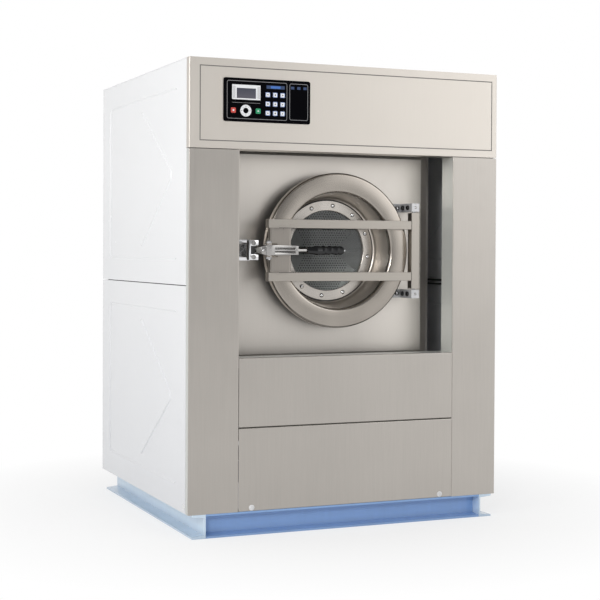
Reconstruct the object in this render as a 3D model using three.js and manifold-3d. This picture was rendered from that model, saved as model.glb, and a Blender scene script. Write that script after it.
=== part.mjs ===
// Commercial washing machine: a soft-mounted washer-extractor with a sheet steel cabinet on a
// channel steel base, a suspended tub, and a dished door held by a square-tube yoke and a latch.
// Millimetres. X runs to the right, Y runs back from the front plane, Z runs up from the floor.
// Depths are counted from the front plane, and heights on the tub from the drum's axis.

import * as THREE from 'three';
import { mergeVertices, toCreasedNormals } from 'three/addons/utils/BufferGeometryUtils.js';
import Module from 'manifold-3d';

const wasm = await Module();
wasm.setup();

// Clearances and cutting allowances
const seat = 0.3;                 // between faces that rest on each other
const runningGap = 0.25;          // round a pin or shaft that turns
const keyGap = 0.4;               // round a key in its hole
const overrun = 12;               // how far a cutting solid runs past what it cuts
const weldDistance = 1e-4;        // vertices closer than this are one

// Facets of round work
const doorSides = 56;
const drumSides = 48;
const pulleySides = 32;
const boltSides = 12;
const inletSides = 16;
const nutSides = 6;
const bendSteps = 3;
const doorBendSteps = 3;

// Cabinet of folded sheet
const cabinet = { width: 1157, depth: 1068, height: 1500, sheet: 1.5, bend: 3 };
const header = { height: 296, sheet: 2, sideReturn: 27, topReturn: 30, bottomReturn: 80, jointGap: 2.5 };
const headerGroove = { left: 36, right: 20, top: 25, bottom: 24, width: 3, depth: 1.1 };
const column = { catchClearance: 56, innerReturn: 80, sideReturn: 27, lip: 20 };
const frontPanels = { recessSill: 512, seam: 279, seamGap: 1.2, sideGap: 0.3, shelf: 80, lip: 15, foot: 40 };
const sidePanel = { seam: 752, seamGap: 3, flange: 30, frontGap: 0.6 };
const sideField = { front: 96, rear: 103, top: 90, bottom: 88, depth: 4, slope: 6, corner: 26 };
const diamond = { inset: 58, heightInset: 42, corner: 22 };
const topPanel = { stiffener: 24, stiffenerInset: 3 };
const rearPanel = { drainClearance: 20 };
const louvre = { width: 150, pitch: 34, height: 15, slot: 8, count: 5, columnOffset: 250, bottom: 300 };
const inlet = {
  spacing: 110,
  fromRight: 190,
  fromTop: 170,
  radius: 13,
  length: 30,
  flangeRadius: 22,
  bore: 9,
};
const inletBody = { width: 46, depth: 60, height: 62, flangeThickness: 4 };
const gland = { fromLeft: 170, fromTop: 170, radius: 15, length: 26, nut: 19, nutLength: 12, bore: 7 };

// Base frame of rolled channel, flanges outwards
const base = { height: 80, flange: 48, web: 5.3, flangeTip: 6.5, flangeRoot: 10.5 };
const baseInset = { side: 14.5, rear: 12, cross: 2 };
const springSeat = { size: 118, thickness: 8, gusset: 6, rim: 5, rimWall: 5, fromRail: 61 };

// Control panel on the header. Its keys are placed from its own centre.
const panel = { width: 310, height: 144, thickness: 2.5, fromLeft: 272.5, fromTop: 134, corner: 7 };
const surround = { margin: 12, rise: 0.8, corner: 4 };
const key = { size: 16, proud: 1, backing: 1.2, corner: 2.5 };
const keyGrid = { left: 1.1, top: 21, pitchX: 26.5, pitchZ: 30.6, columns: 3, rows: 3 };
const commandKey = { size: 17, stopX: -121, startX: -33.3, centreZ: -35 };
const cursorPad = { centreX: -77, centreZ: -35, outerRadius: 19.5, innerRadius: 9.5 };

// Suspended tub: front plate, shell and what it carries
const axisHeight = 870;           // drum axis above the underside of the cabinet
const half = cabinet.width / 2;
const tubPlate = { depth: 165, sheet: 3, behindColumn: 9, top: 380, bottom: 410, bend: 50, skirt: 60 };
const tubMouth = { radius: 205, collar: 35 };
const tub = { radius: 349, sheet: 3, doublerThickness: 5, rearSpace: 360, shaftHole: 48, bend: 15 };
const tubShoulder = { opening: 254, radius: 308, depth: 32 };
const gasket = { innerRadius: 210, outerRadius: 252, nose: 12 };
const bearing = {
  flangeRadius: 140,
  flange: 12,
  rootRadius: 74,
  tipRadius: 54,
  length: 150,
  ribs: 6,
  ribThickness: 10,
};
const cradle = {
  width: 30,
  fromTubFront: 97,
  fromTubRear: 64,
  beam: 60,
  beamEnd: 50,
  neckFoot: 200,
  neckFacets: 4,
};
const coil = {
  height: 200,
  meanRadius: 39,
  wire: 12,
  openTurns: 5,
  closedTurns: 1,
  stepsPerTurn: 8,
  sides: 4,
};

// Drum, shaft and drive
const drum = { radius: 335, sheet: 2, frontGap: 31, rearGap: 42, mouth: 200, lip: 20, bend: 12 };
const lifter = { base: 150, height: 95, ridge: 12, sheet: 2, endGap: 14, count: 3, drain: 9, drains: 3 };
const firstLifterDegrees = -90;
const spider = { arms: 3, armWidth: 64, thickness: 24, hubRadius: 88, tipGap: 12 };
const shaft = { radius: 30, noseRadius: 25 };
const drumPulley = {
  gap: 16,
  radius: 200,
  width: 56,
  rim: 12,
  web: 10,
  hubRadius: 56,
  holes: 5,
  holeRadius: 42,
  holeCircle: 122,
  lip: 5,
  lipWidth: 5,
};
const motorPulley = { radius: 50, shaftRadius: 14, shaftDepth: 44 };
const belt = { thickness: 9, arcStep: 7.5 };
const motor = {
  fromSpring: 125,
  height: -480,
  radius: 95,
  toPulley: 90,
  length: 290,
  endBellLength: 34,
  endBellRadius: 78,
  fins: 16,
  finDepth: 6,
  finWidth: 7,
};
const motorBox = { width: 96, depth: 110, height: 46 };
const motorFeet = { width: 170, thickness: 10, railWidth: 36, railHeight: 12, wall: 22 };

// Drain under the tub
const drain = { x: 0, pipe: 38, wall: 3, outletHeight: 200, bend: 62, bendSteps: 4, proud: 34, bore: 120 };
const drainValve = { neck: 120, size: 116, height: 70, actuator: 70, actuatorRadius: 26 };

// Door, measured from the door's centre on the drum axis
const door = {
  radius: 270,
  face: 90,
  rim: 30,
  lip: 204,
  lipBend: 14,
  rimBend: 12,
  sheet: 3,
  bowl: 180,
  bowlDepth: 102,
  pocketGap: 0.5,
};
const glass = { radius: 151, opening: 144, step: 13 };
const clampRing = { outerRadius: 177, innerRadius: 142, thickness: 3.7 };
const yoke = { tube: 30, wall: 2.5, spread: 181, barLeft: -274, postHalf: 134, plug: 26 };
const hinge = { x: 285, pin: 6, pinLength: 20, gap: 4, height: 30, footLength: 65, footThickness: 18 };

// Latch on the door's free side
const latchPlate = {
  left: -268,
  right: -190,
  sheet: 4,
  recess: 2,
  flange: 20,
  bend: 6,
  slotRight: -246,
  slotHalf: 19.5,
};
const lug = { gap: 1, thickness: 5, radius: 12, rootLeft: -266, rootRight: -238 };
const pivot = {
  x: -279,
  depth: 45,
  radius: 5,
  nutRadius: 9,
  nutHeight: 6,
  domeRadius: 6.5,
  domeHeight: 4,
  domeShare: 0.6,
};
const lever = {
  half: 17,
  front: 35,
  back: 55,
  left: -292,
  blockRight: -261,
  right: -174,
  flange: 6,
  web: 4,
  collar: 11,
  collarHalf: 15,
  step: 2,
};
const rod = { radius: 6, right: -100 };
const grip = {
  left: -139,
  right: -3,
  radius: 14.4,
  collarRadius: 10.5,
  swell: 34,
  ribRise: 1.4,
  ribWidth: 7,
  bore: 62,
  tip: 8,
  tipShare: 0.8,
  sides: 18,
};
const gripRibs = { first: -79, pitch: 24.5, count: 3 };
const hook = { noseGap: 0.9, noseHalf: 7.5, noseWidth: 9, noseBack: 66, claw: 9, chin: 14 };

// Catch on the tub's front plate
const catchBlock = { left: -346, right: -312, front: 58, back: 80, half: 33.5, spine: 7, slotHalf: 13.8 };
const roller = { x: -330.5, depth: 66, radius: 7.5, pin: 3, endGap: 0.5 };
const standOff = { left: -344, half: 25, wall: 5, footHalf: 36, footReach: 8, foot: 6 };

// Finishes
function finish(color, roughness, metalness) {
  return new THREE.MeshStandardMaterial({ color, roughness, metalness });
}
const blueEnamel = finish(0x7fa6dc, 0.45, 0.1);
const whiteEnamel = finish(0xeceff0, 0.35, 0.1);
const beigeSteel = finish(0xcdc8c0, 0.42, 0.6);
const brushedSteel = finish(0xb4aea6, 0.36, 0.9);
const polishedSteel = finish(0xc4c2be, 0.2, 1);
const chromed = finish(0xe2e4e6, 0.1, 1);
const blackRubber = finish(0x161616, 0.75, 0);
const blackPlastic = finish(0x101011, 0.3, 0);
const whitePlastic = finish(0xe8eaee, 0.4, 0);
const redPlastic = finish(0xc8453f, 0.4, 0);
const greenPlastic = finish(0x2f9468, 0.4, 0);
const clearGlass = new THREE.MeshStandardMaterial({
  color: 0xcfd6d6,
  roughness: 0.03,
  metalness: 0,
  transparent: true,
  opacity: 0.35,
});
const castIron = finish(0x54585c, 0.6, 0.4);
const motorPaint = finish(0x4b6078, 0.5, 0.3);
const springSteel = finish(0x2e3034, 0.45, 0.7);

// Closed solids from three.js geometry

// Turns a geometry into a solid: shared vertices are merged, flat triangles dropped, and the
// faces turned outwards.
function solidOf(geometry) {
  const shell = geometry.clone();
  shell.deleteAttribute('normal');
  shell.deleteAttribute('uv');
  const welded = mergeVertices(shell, weldDistance);
  const place = welded.getAttribute('position');
  const corners = [];
  for (let i = 0; i < welded.index.count; i += 3) {
    const [a, b, c] = [0, 1, 2].map((k) => welded.index.getX(i + k));
    if (a !== b && b !== c && c !== a) corners.push([a, b, c]);
  }
  const at = (i) => new THREE.Vector3().fromBufferAttribute(place, i);
  const volume = corners.reduce((sum, [a, b, c]) => sum + at(a).dot(at(b).cross(at(c))), 0);
  const triangles = corners.flatMap(([a, b, c]) => (volume < 0 ? [a, c, b] : [a, b, c]));
  return new wasm.Manifold(new wasm.Mesh({
    numProp: 3,
    vertProperties: new Float32Array(place.array),
    triVerts: new Uint32Array(triangles),
  }));
}

const vec = ([x, y]) => new THREE.Vector2(x, y);
const join = (...solids) => solids.reduce((whole, next) => whole.add(next));
const cut = (solid, ...tools) => tools.reduce((rest, tool) => rest.subtract(tool), solid);

// A block between two values on each axis
function block([x0, x1], [y0, y1], [z0, z1]) {
  const geometry = new THREE.BoxGeometry(x1 - x0, y1 - y0, z1 - z0);
  geometry.translate((x0 + x1) / 2, (y0 + y1) / 2, (z0 + z1) / 2);
  return solidOf(geometry);
}

// Turns an outline's own axes (u, v, and the way it is extruded) into the part's axes.
const planes = {
  plan: [[1, 0, 0], [0, 1, 0], [0, 0, 1]],
  side: [[0, 1, 0], [0, 0, 1], [1, 0, 0]],
  front: [[1, 0, 0], [0, 0, 1], [0, -1, 0]],
};

// Extrudes an outline drawn in plan (x, y), side (y, z) or front (x, z) view between two places
// on the third axis.
function extrude(outline, view, [from, to]) {
  const shape = new THREE.Shape(outline.map(vec));
  const geometry = new THREE.ExtrudeGeometry(shape, { depth: to - from, bevelEnabled: false });
  const axes = planes[view].map((axis) => new THREE.Vector3(...axis));
  geometry.applyMatrix4(new THREE.Matrix4().makeBasis(...axes));
  const start = view === 'front' ? -to : from;
  const way = axes[2].clone().multiplyScalar(start);
  geometry.translate(way.x, way.y, way.z);
  return solidOf(geometry);
}

// A round bar along x, y or z
function bar(axis, radius, [from, to], [u, v], sides = boltSides) {
  const geometry = new THREE.CylinderGeometry(radius, radius, to - from, sides);
  const middle = (from + to) / 2;
  if (axis === 'x') geometry.rotateZ(Math.PI / 2).translate(middle, u, v);
  if (axis === 'y') geometry.translate(u, middle, v);
  if (axis === 'z') geometry.rotateX(Math.PI / 2).translate(u, v, middle);
  return solidOf(geometry);
}

// Revolves a closed section of (radius, depth) points about the Y axis. A section that doesn't
// touch the axis makes a ring.
function revolve(section, sides) {
  const first = section.findIndex(([r], i) => r === 0 && section.at(i - 1)[0] === 0);
  const closed = first < 0 ? [...section, section[0]] : [...section.slice(first), ...section.slice(0, first)];
  const points = closed.map(([r, y]) => new THREE.Vector2(r, y));
  return solidOf(new THREE.LatheGeometry(points, sides));
}

// Rounds the inner corners of an open path; radiusAt gives the radius at each corner.
function roundedPath(corners, radiusAt, steps = bendSteps) {
  const points = [corners[0]];
  for (let i = 1; i < corners.length - 1; i += 1) {
    const here = vec(corners[i]);
    const before = vec(corners[i - 1]).sub(here).normalize();
    const after = vec(corners[i + 1]).sub(here).normalize();
    const opening = Math.acos(THREE.MathUtils.clamp(before.dot(after), -1, 1));
    const turn = Math.sign(after.cross(before));
    const radius = Math.max(radiusAt(i, turn), 0);
    if (radius === 0) {
      points.push(corners[i]);
      continue;
    }
    const inward = before.clone().add(after).normalize();
    const centre = here.clone().addScaledVector(inward, radius / Math.sin(opening / 2));
    const start = here.clone().addScaledVector(before, radius / Math.tan(opening / 2)).sub(centre);
    const sweep = turn * (Math.PI - opening);
    for (let k = 0; k <= steps; k += 1) {
      const spoke = start.clone().rotateAround(new THREE.Vector2(), (sweep * k) / steps).add(centre);
      points.push([spoke.x, spoke.y]);
    }
  }
  points.push(corners[corners.length - 1]);
  return points;
}

// Moves an open path to its left by a distance, mitred at the corners.
function offsetPath(corners, distance) {
  const leftOf = (a, b) => {
    const along = vec(b).sub(vec(a)).normalize();
    return new THREE.Vector2(-along.y, along.x);
  };
  return corners.map((corner, i) => {
    const normals = [];
    if (i > 0) normals.push(leftOf(corners[i - 1], corner));
    if (i < corners.length - 1) normals.push(leftOf(corner, corners[i + 1]));
    const mitre = normals.reduce((sum, n) => sum.add(n), new THREE.Vector2()).normalize();
    const moved = vec(corner).addScaledVector(mitre, distance / mitre.dot(normals[0]));
    return [moved.x, moved.y];
  });
}

// Section of a folded or pressed sheet. The corners run along one face with the sheet's
// thickness on their left; each bend's outer radius is one value, or one for each bend.
function sheetSection(corners, thickness, bends, steps = bendSteps) {
  const bendAt = (i) => (Array.isArray(bends) ? bends[i - 1] : bends);
  const radiusOn = (side) => (i, turn) => (turn * side > 0 ? bendAt(i) : bendAt(i) - thickness);
  const face = roundedPath(corners, radiusOn(1), steps);
  const back = roundedPath(offsetPath(corners, thickness), radiusOn(-1), steps);
  return [...face, ...back.reverse()];
}

// Outline of a closed polygon with rounded corners
function roundedOutline(corners, radius, steps = bendSteps) {
  const last = corners.at(-1);
  const start = [(last[0] + corners[0][0]) / 2, (last[1] + corners[0][1]) / 2];
  return roundedPath([start, ...corners, start], () => radius, steps).slice(1);
}

function rectangle([x0, x1], [y0, y1]) {
  return [[x0, y0], [x1, y0], [x1, y1], [x0, y1]];
}

// A closed body between two outlines with as many points, at two places on Z
function loft(lower, z0, upper, z1) {
  return sweep([lower.map(([x, y]) => [x, y, z0]), upper.map(([x, y]) => [x, y, z1])]);
}

function arcPoints([x, y], radius, fromDegrees, toDegrees, steps) {
  return Array.from({ length: steps + 1 }, (_, i) => {
    const angle = THREE.MathUtils.degToRad(fromDegrees + ((toDegrees - fromDegrees) * i) / steps);
    return [x + radius * Math.cos(angle), y + radius * Math.sin(angle)];
  });
}

// A closed body through a row of rings with as many points each
function sweep(rings) {
  const count = rings[0].length;
  const last = (rings.length - 1) * count;
  const index = [];
  for (let i = 0; i < last; i += count) {
    for (let k = 0; k < count; k += 1) {
      const next = (k + 1) % count;
      index.push(i + k, i + next, i + count + next, i + k, i + count + next, i + count + k);
    }
  }
  for (let k = 1; k < count - 1; k += 1) {
    index.push(0, k + 1, k, last, last + k, last + k + 1);
  }
  const geometry = new THREE.BufferGeometry();
  geometry.setAttribute('position', new THREE.Float32BufferAttribute(rings.flat(2), 3));
  geometry.setIndex(index);
  return solidOf(geometry);
}

// Equal turns about the Y axis, in degrees, for pieces repeated in a circle
function turnsOf(count, first = 0) {
  return Array.from({ length: count }, (_, i) => [0, first + (360 * i) / count, 0]);
}

// The smallest convex outline round a set of points
function convexOutline(points) {
  const sorted = [...points].sort((a, b) => a[0] - b[0] || a[1] - b[1]);
  const chain = (list) => {
    const kept = [];
    list.forEach((point) => {
      while (kept.length > 1) {
        const edge = vec(kept.at(-1)).sub(vec(kept.at(-2)));
        if (edge.cross(vec(point).sub(vec(kept.at(-1)))) > 0) break;
        kept.pop();
      }
      kept.push(point);
    });
    return kept.slice(0, -1);
  };
  return [...chain(sorted), ...chain(sorted.reverse())];
}

// Places along the machine's depth, and across it, that several pieces share
const columnEdge = column.catchClearance - catchBlock.left;
const tubFront = tubPlate.depth + tubPlate.sheet + seat;
const tubRear = cabinet.depth - tub.rearSpace;
const drumFront = tubPlate.depth + drum.frontGap;
const drumRear = tubRear - drum.rearGap;
const housingFront = tubRear + tub.doublerThickness + seat;
const housingRear = housingFront + bearing.length;
const pulleyFront = housingRear + drumPulley.gap;
const pulleyBack = pulleyFront + drumPulley.width;
const motorRear = pulleyFront - motor.toPulley;
const motorFront = motorRear - motor.length;
const cradleFrontDepth = tubPlate.depth + cradle.fromTubFront;
const cradleRearDepth = tubRear - cradle.fromTubRear;
const cradleMiddles = [cradleFrontDepth, cradleRearDepth].map((depth) => depth + cradle.width / 2);
const drainDepth = (cradleMiddles[0] + cradleMiddles[1]) / 2;
const railLength = cabinet.depth - baseInset.rear;
const railWebInner = half - baseInset.side - base.flange;
const springOffset = railWebInner - springSeat.fromRail;
const motorX = springOffset - motor.fromSpring;

// The part's scene graph
const machine = new THREE.Group();
const onBase = new THREE.Group();
const onTub = new THREE.Group();
machine.add(onBase, onTub);
onBase.position.z = base.height;
onTub.position.z = base.height + axisHeight;

function place(group, name, solid, material) {
  const { vertProperties, triVerts } = solid.getMesh();
  const geometry = new THREE.BufferGeometry();
  geometry.setAttribute('position', new THREE.BufferAttribute(new Float32Array(vertProperties), 3));
  geometry.setIndex(new THREE.BufferAttribute(new Uint32Array(triVerts), 1));
  const mesh = new THREE.Mesh(toCreasedNormals(geometry, THREE.MathUtils.degToRad(35)), material);
  mesh.name = name;
  group.add(mesh);
  return mesh;
}

// Base frame

function channelSection() {
  const tip = base.flange;
  return [
    [0, 0],
    [tip, 0],
    [tip, base.flangeTip],
    [base.web, base.flangeRoot],
    [base.web, base.height - base.flangeRoot],
    [tip, base.height - base.flangeTip],
    [tip, base.height],
    [0, base.height],
  ];
}

// A square seat for a spring, welded to the inside of the rail's web, with a gusset under it and
// a round rim that locates the spring
function springSeatOn(depth) {
  const inner = springOffset - springSeat.size / 2;
  const outer = railWebInner + base.web / 2;
  const halfSize = springSeat.size / 2;
  const rimRadius = coil.meanRadius - coil.wire / 2 - springSeat.rimWall / 2;
  const plate = block(
    [inner, outer],
    [depth - halfSize, depth + halfSize],
    [base.height - springSeat.thickness, base.height],
  );
  const gusset = extrude(
    [
      [outer, springSeat.thickness],
      [outer, base.height - springSeat.thickness / 2],
      [inner + springSeat.thickness, base.height - springSeat.thickness / 2],
    ],
    'front',
    [depth - springSeat.gusset / 2, depth + springSeat.gusset / 2],
  );
  const rimSpan = [base.height - springSeat.thickness / 2, base.height + springSeat.rim];
  const rim = bar('z', rimRadius, rimSpan, [springOffset, depth], pulleySides / 2);
  return join(plate, gusset, rim);
}

function baseRail(side) {
  const section = channelSection().map(([u, v]) => [railWebInner + u, v]);
  const rail = extrude(section, 'front', [0, railLength]);
  const whole = join(rail, ...cradleMiddles.map(springSeatOn));
  return side < 0 ? whole.mirror([1, 0, 0]) : whole;
}

function baseCross(webDepth, way) {
  const half = railWebInner - seat;
  const section = channelSection().map(([u, v]) => [webDepth + way * u, v]);
  return extrude(section, 'side', [-half, half]);
}

place(machine, 'base_rail_left', baseRail(-1), blueEnamel);
place(machine, 'base_rail_right', baseRail(1), blueEnamel);
place(machine, 'base_cross_front', baseCross(baseInset.cross + base.flange, -1), blueEnamel);
place(machine, 'base_cross_rear', baseCross(railLength - baseInset.cross - base.flange, 1), blueEnamel);

// Header with the control panel's surround

const headerBottom = cabinet.height - header.height;
const panelX = -half + panel.fromLeft;
const panelZ = cabinet.height - panel.fromTop;

function keyPlaces() {
  const places = [];
  for (let row = 0; row < keyGrid.rows; row += 1) {
    for (let col = 0; col < keyGrid.columns; col += 1) {
      const x = panelX + keyGrid.left + col * keyGrid.pitchX;
      const z = panelZ + keyGrid.top - row * keyGrid.pitchZ;
      places.push({ name: `program_key_${places.length + 1}`, x, z, size: key.size, material: whitePlastic });
    }
  }
  const command = { z: panelZ + commandKey.centreZ, size: commandKey.size };
  places.push({ name: 'stop_key', x: panelX + commandKey.stopX, material: redPlastic, ...command });
  places.push({ name: 'start_key', x: panelX + commandKey.startX, material: greenPlastic, ...command });
  return places;
}

function squareAt(x, z, size, corner) {
  const reach = size / 2;
  return roundedOutline(rectangle([x - reach, x + reach], [z - reach, z + reach]), corner, 2);
}

function headerPanel() {
  const wrap = sheetSection(
    [[-half, header.sideReturn], [-half, 0], [half, 0], [half, header.sideReturn]],
    header.sheet,
    cabinet.bend,
  );
  const skin = extrude(wrap, 'plan', [headerBottom, cabinet.height]);
  const inside = half - header.sheet / 2;
  const topFlange = block(
    [-inside, inside],
    [header.sheet / 2, header.topReturn],
    [cabinet.height - header.sheet, cabinet.height],
  );
  const betweenSides = half - sidePanel.flange - seat;
  const bottomFlange = block(
    [-betweenSides, betweenSides],
    [header.sheet / 2, header.bottomReturn],
    [headerBottom, headerBottom + header.sheet],
  );
  const outerEdge = rectangle(
    [-half + headerGroove.left, half - headerGroove.right],
    [headerBottom + headerGroove.bottom, cabinet.height - headerGroove.top],
  );
  const [[left, low], , [right, high]] = outerEdge;
  const innerEdge = rectangle(
    [left + headerGroove.width, right - headerGroove.width],
    [low + headerGroove.width, high - headerGroove.width],
  );
  const groove = cut(
    extrude(outerEdge, 'front', [-overrun, headerGroove.depth]),
    extrude(innerEdge, 'front', [-2 * overrun, 2 * overrun]),
  );
  const reachX = panel.width / 2 + surround.margin;
  const reachZ = panel.height / 2 + surround.margin;
  const pad = extrude(
    roundedOutline(
      rectangle([panelX - reachX, panelX + reachX], [panelZ - reachZ, panelZ + reachZ]),
      surround.corner,
    ),
    'front',
    [-surround.rise, header.sheet / 2],
  );
  return join(cut(join(skin, topFlange, bottomFlange), groove), pad);
}

place(onBase, 'header_panel', headerPanel(), beigeSteel);

// Control panel and its keys. Each key stands in a hole of the panel with room behind it to travel.

const panelBack = -surround.rise - seat;
const panelFront = panelBack - panel.thickness;
const cursorCentre = [panelX + cursorPad.centreX, panelZ + cursorPad.centreZ];

function controlPanel() {
  const reachX = panel.width / 2;
  const reachZ = panel.height / 2;
  const plate = extrude(
    roundedOutline(
      rectangle([panelX - reachX, panelX + reachX], [panelZ - reachZ, panelZ + reachZ]),
      panel.corner,
    ),
    'front',
    [panelFront, panelBack],
  );
  const through = [panelFront - overrun, panelBack + overrun];
  const holes = keyPlaces().map(({ x, z, size }) => (
    extrude(squareAt(x, z, size + 2 * keyGap, key.corner + keyGap), 'front', through)
  ));
  const padHole = bar('y', cursorPad.outerRadius + keyGap, through, cursorCentre, pulleySides);
  return cut(plate, ...holes, padHole);
}

place(onBase, 'control_panel', controlPanel(), blackPlastic);

const keySpan = [panelFront - key.proud, panelBack - key.backing];
keyPlaces().forEach(({ name, x, z, size, material }) => {
  place(onBase, name, extrude(squareAt(x, z, size, key.corner), 'front', keySpan), material);
});

function cursorRing() {
  const ring = bar('y', cursorPad.outerRadius, keySpan, cursorCentre, pulleySides);
  const dimpleSpan = [keySpan[0] - overrun, keySpan[0] + key.proud / 2];
  const dimple = bar('y', cursorPad.innerRadius, dimpleSpan, cursorCentre, pulleySides);
  return cut(ring, dimple);
}

place(onBase, 'cursor_pad', cursorRing(), whitePlastic);

// Columns each side of the recess, folded round the cabinet's corners

function frontColumn(side) {
  const section = sheetSection(
    [
      [-half + column.lip, column.sideReturn],
      [-half, column.sideReturn],
      [-half, 0],
      [-columnEdge, 0],
      [-columnEdge, column.innerReturn],
    ],
    cabinet.sheet,
    cabinet.bend,
  );
  const solid = extrude(section, 'plan', [seat, headerBottom - header.jointGap]);
  return side < 0 ? solid : solid.mirror([1, 0, 0]);
}

place(onBase, 'pilaster_left', frontColumn(-1), brushedSteel);
place(onBase, 'pilaster_right', frontColumn(1), brushedSteel);

// Front panels under the recess

const panelReach = columnEdge - frontPanels.sideGap;

function middlePanel() {
  const bottom = frontPanels.seam + frontPanels.seamGap;
  const section = sheetSection(
    [
      [frontPanels.shelf, frontPanels.recessSill],
      [0, frontPanels.recessSill],
      [0, bottom],
      [frontPanels.lip, bottom],
    ],
    cabinet.sheet,
    cabinet.bend,
  );
  return extrude(section, 'side', [-panelReach, panelReach]);
}

function bottomPanel() {
  const top = frontPanels.seam - frontPanels.seamGap;
  const section = sheetSection(
    [[frontPanels.lip, top], [0, top], [0, seat], [frontPanels.foot, seat]],
    cabinet.sheet,
    cabinet.bend,
  );
  return extrude(section, 'side', [-panelReach, panelReach]);
}

place(onBase, 'front_panel_middle', middlePanel(), brushedSteel);
place(onBase, 'front_panel_bottom', bottomPanel(), brushedSteel);

// Side panels: pans with a sunk field and a raised diamond pressed into them. The pressed face is
// drawn once as a full block, and the same block moved in by the sheet's thickness is cut away.

function pressedBlock([y0, y1], [z0, z1], inset, reach) {
  const shift = inset;
  const low = [y0 + sideField.front, z0 + sideField.bottom];
  const high = [y1 - sideField.rear, z1 - sideField.top];
  const face = loft(
    rectangle([y0 + inset, y1 - inset], [z0 + inset, z1 - inset]),
    shift,
    rectangle([y0 + inset, y1 - inset], [z0 + inset, z1 - inset]),
    reach,
  );
  const fieldAt = (grow) => roundedOutline(
    rectangle([low[0] - grow, high[0] + grow], [low[1] - grow, high[1] + grow]),
    sideField.corner + grow,
  );
  const sunk = loft(
    fieldAt(sideField.slope),
    shift - overrun,
    fieldAt(sideField.slope),
    shift,
  ).add(loft(fieldAt(sideField.slope), shift, fieldAt(0), shift + sideField.depth));
  const middle = [(low[0] + high[0]) / 2, (low[1] + high[1]) / 2];
  const diamondAt = (grow) => {
    const reachY = (high[0] - low[0]) / 2 - diamond.inset + grow;
    const reachZ = (high[1] - low[1]) / 2 - diamond.heightInset + grow;
    return roundedOutline(
      [
        [middle[0] - reachY, middle[1]],
        [middle[0], middle[1] - reachZ],
        [middle[0] + reachY, middle[1]],
        [middle[0], middle[1] + reachZ],
      ],
      diamond.corner,
    );
  };
  const raised = loft(
    diamondAt(0),
    shift,
    diamondAt(2 * sideField.slope),
    shift + sideField.depth + sideField.depth,
  );
  return join(cut(face, sunk), raised.intersect(face));
}

// The block is drawn with the outer face at Z 0 and its depth upwards, then stood on the cabinet's side.
function sidePanelSolid(side, [z0, z1]) {
  const span = [column.sideReturn + sidePanel.frontGap, cabinet.depth];
  const outer = pressedBlock(span, [z0, z1], 0, sidePanel.flange);
  const inner = pressedBlock(span, [z0, z1], cabinet.sheet, sidePanel.flange + overrun);
  const pan = cut(outer, inner);
  const onSide = pan.transform(new THREE.Matrix4().makeBasis(
    new THREE.Vector3(0, 1, 0),
    new THREE.Vector3(0, 0, 1),
    new THREE.Vector3(1, 0, 0),
  ).toArray());
  const left = onSide.translate([-half, 0, 0]);
  return side < 0 ? left : left.mirror([1, 0, 0]);
}

const lowerSide = [seat, sidePanel.seam - sidePanel.seamGap / 2];
const upperSide = [sidePanel.seam + sidePanel.seamGap / 2, cabinet.height - header.sheet - seat];
place(onBase, 'side_panel_left_upper', sidePanelSolid(-1, upperSide), whiteEnamel);
place(onBase, 'side_panel_left_lower', sidePanelSolid(-1, lowerSide), whiteEnamel);
place(onBase, 'side_panel_right_upper', sidePanelSolid(1, upperSide), whiteEnamel);
place(onBase, 'side_panel_right_lower', sidePanelSolid(1, lowerSide), whiteEnamel);

// Top panel behind the header's return, with a stiffener folded down at the front and rear

function topPanelSolid() {
  const front = header.topReturn + seat;
  const sheet = block([-half, half], [front, cabinet.depth], [cabinet.height - header.sheet, cabinet.height]);
  const reach = half - sidePanel.flange - topPanel.stiffenerInset;
  const stiffener = (y) => block(
    [-reach, reach],
    [y, y + cabinet.sheet],
    [cabinet.height - topPanel.stiffener, cabinet.height - header.sheet / 2],
  );
  const rear = cabinet.depth - cabinet.sheet - topPanel.stiffenerInset;
  return join(sheet, stiffener(front + topPanel.stiffenerInset), stiffener(rear - cabinet.sheet));
}

place(onBase, 'top_panel', topPanelSolid(), whiteEnamel);

// Rear panel between the side panels' flanges, with louvres, water inlets, a cable gland and a
// hole that the drain pipe moves in

const rearOuter = cabinet.depth;
const rearInner = rearOuter - cabinet.sheet;
const drainAxis = drain.outletHeight - base.height;

function louvreSlot(x, z) {
  const reach = louvre.width / 2;
  const inside = reach - cabinet.sheet;
  const slotTop = z - louvre.height + louvre.slot;
  const hood = (radius, across) => extrude(
    arcPoints([rearOuter, z], radius, -90, 90, bendSteps + 1),
    'side',
    [x - across, x + across],
  );
  const shell = cut(
    hood(louvre.height, reach),
    hood(louvre.height - cabinet.sheet, inside),
    block(
      [x - reach - overrun, x + reach + overrun],
      [rearOuter, rearOuter + 2 * louvre.height],
      [z - 2 * louvre.height, slotTop],
    ),
  );
  const opening = block(
    [x - inside, x + inside],
    [rearInner - overrun, rearOuter],
    [slotTop, z + louvre.height - cabinet.sheet],
  );
  return { shell, opening };
}

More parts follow.
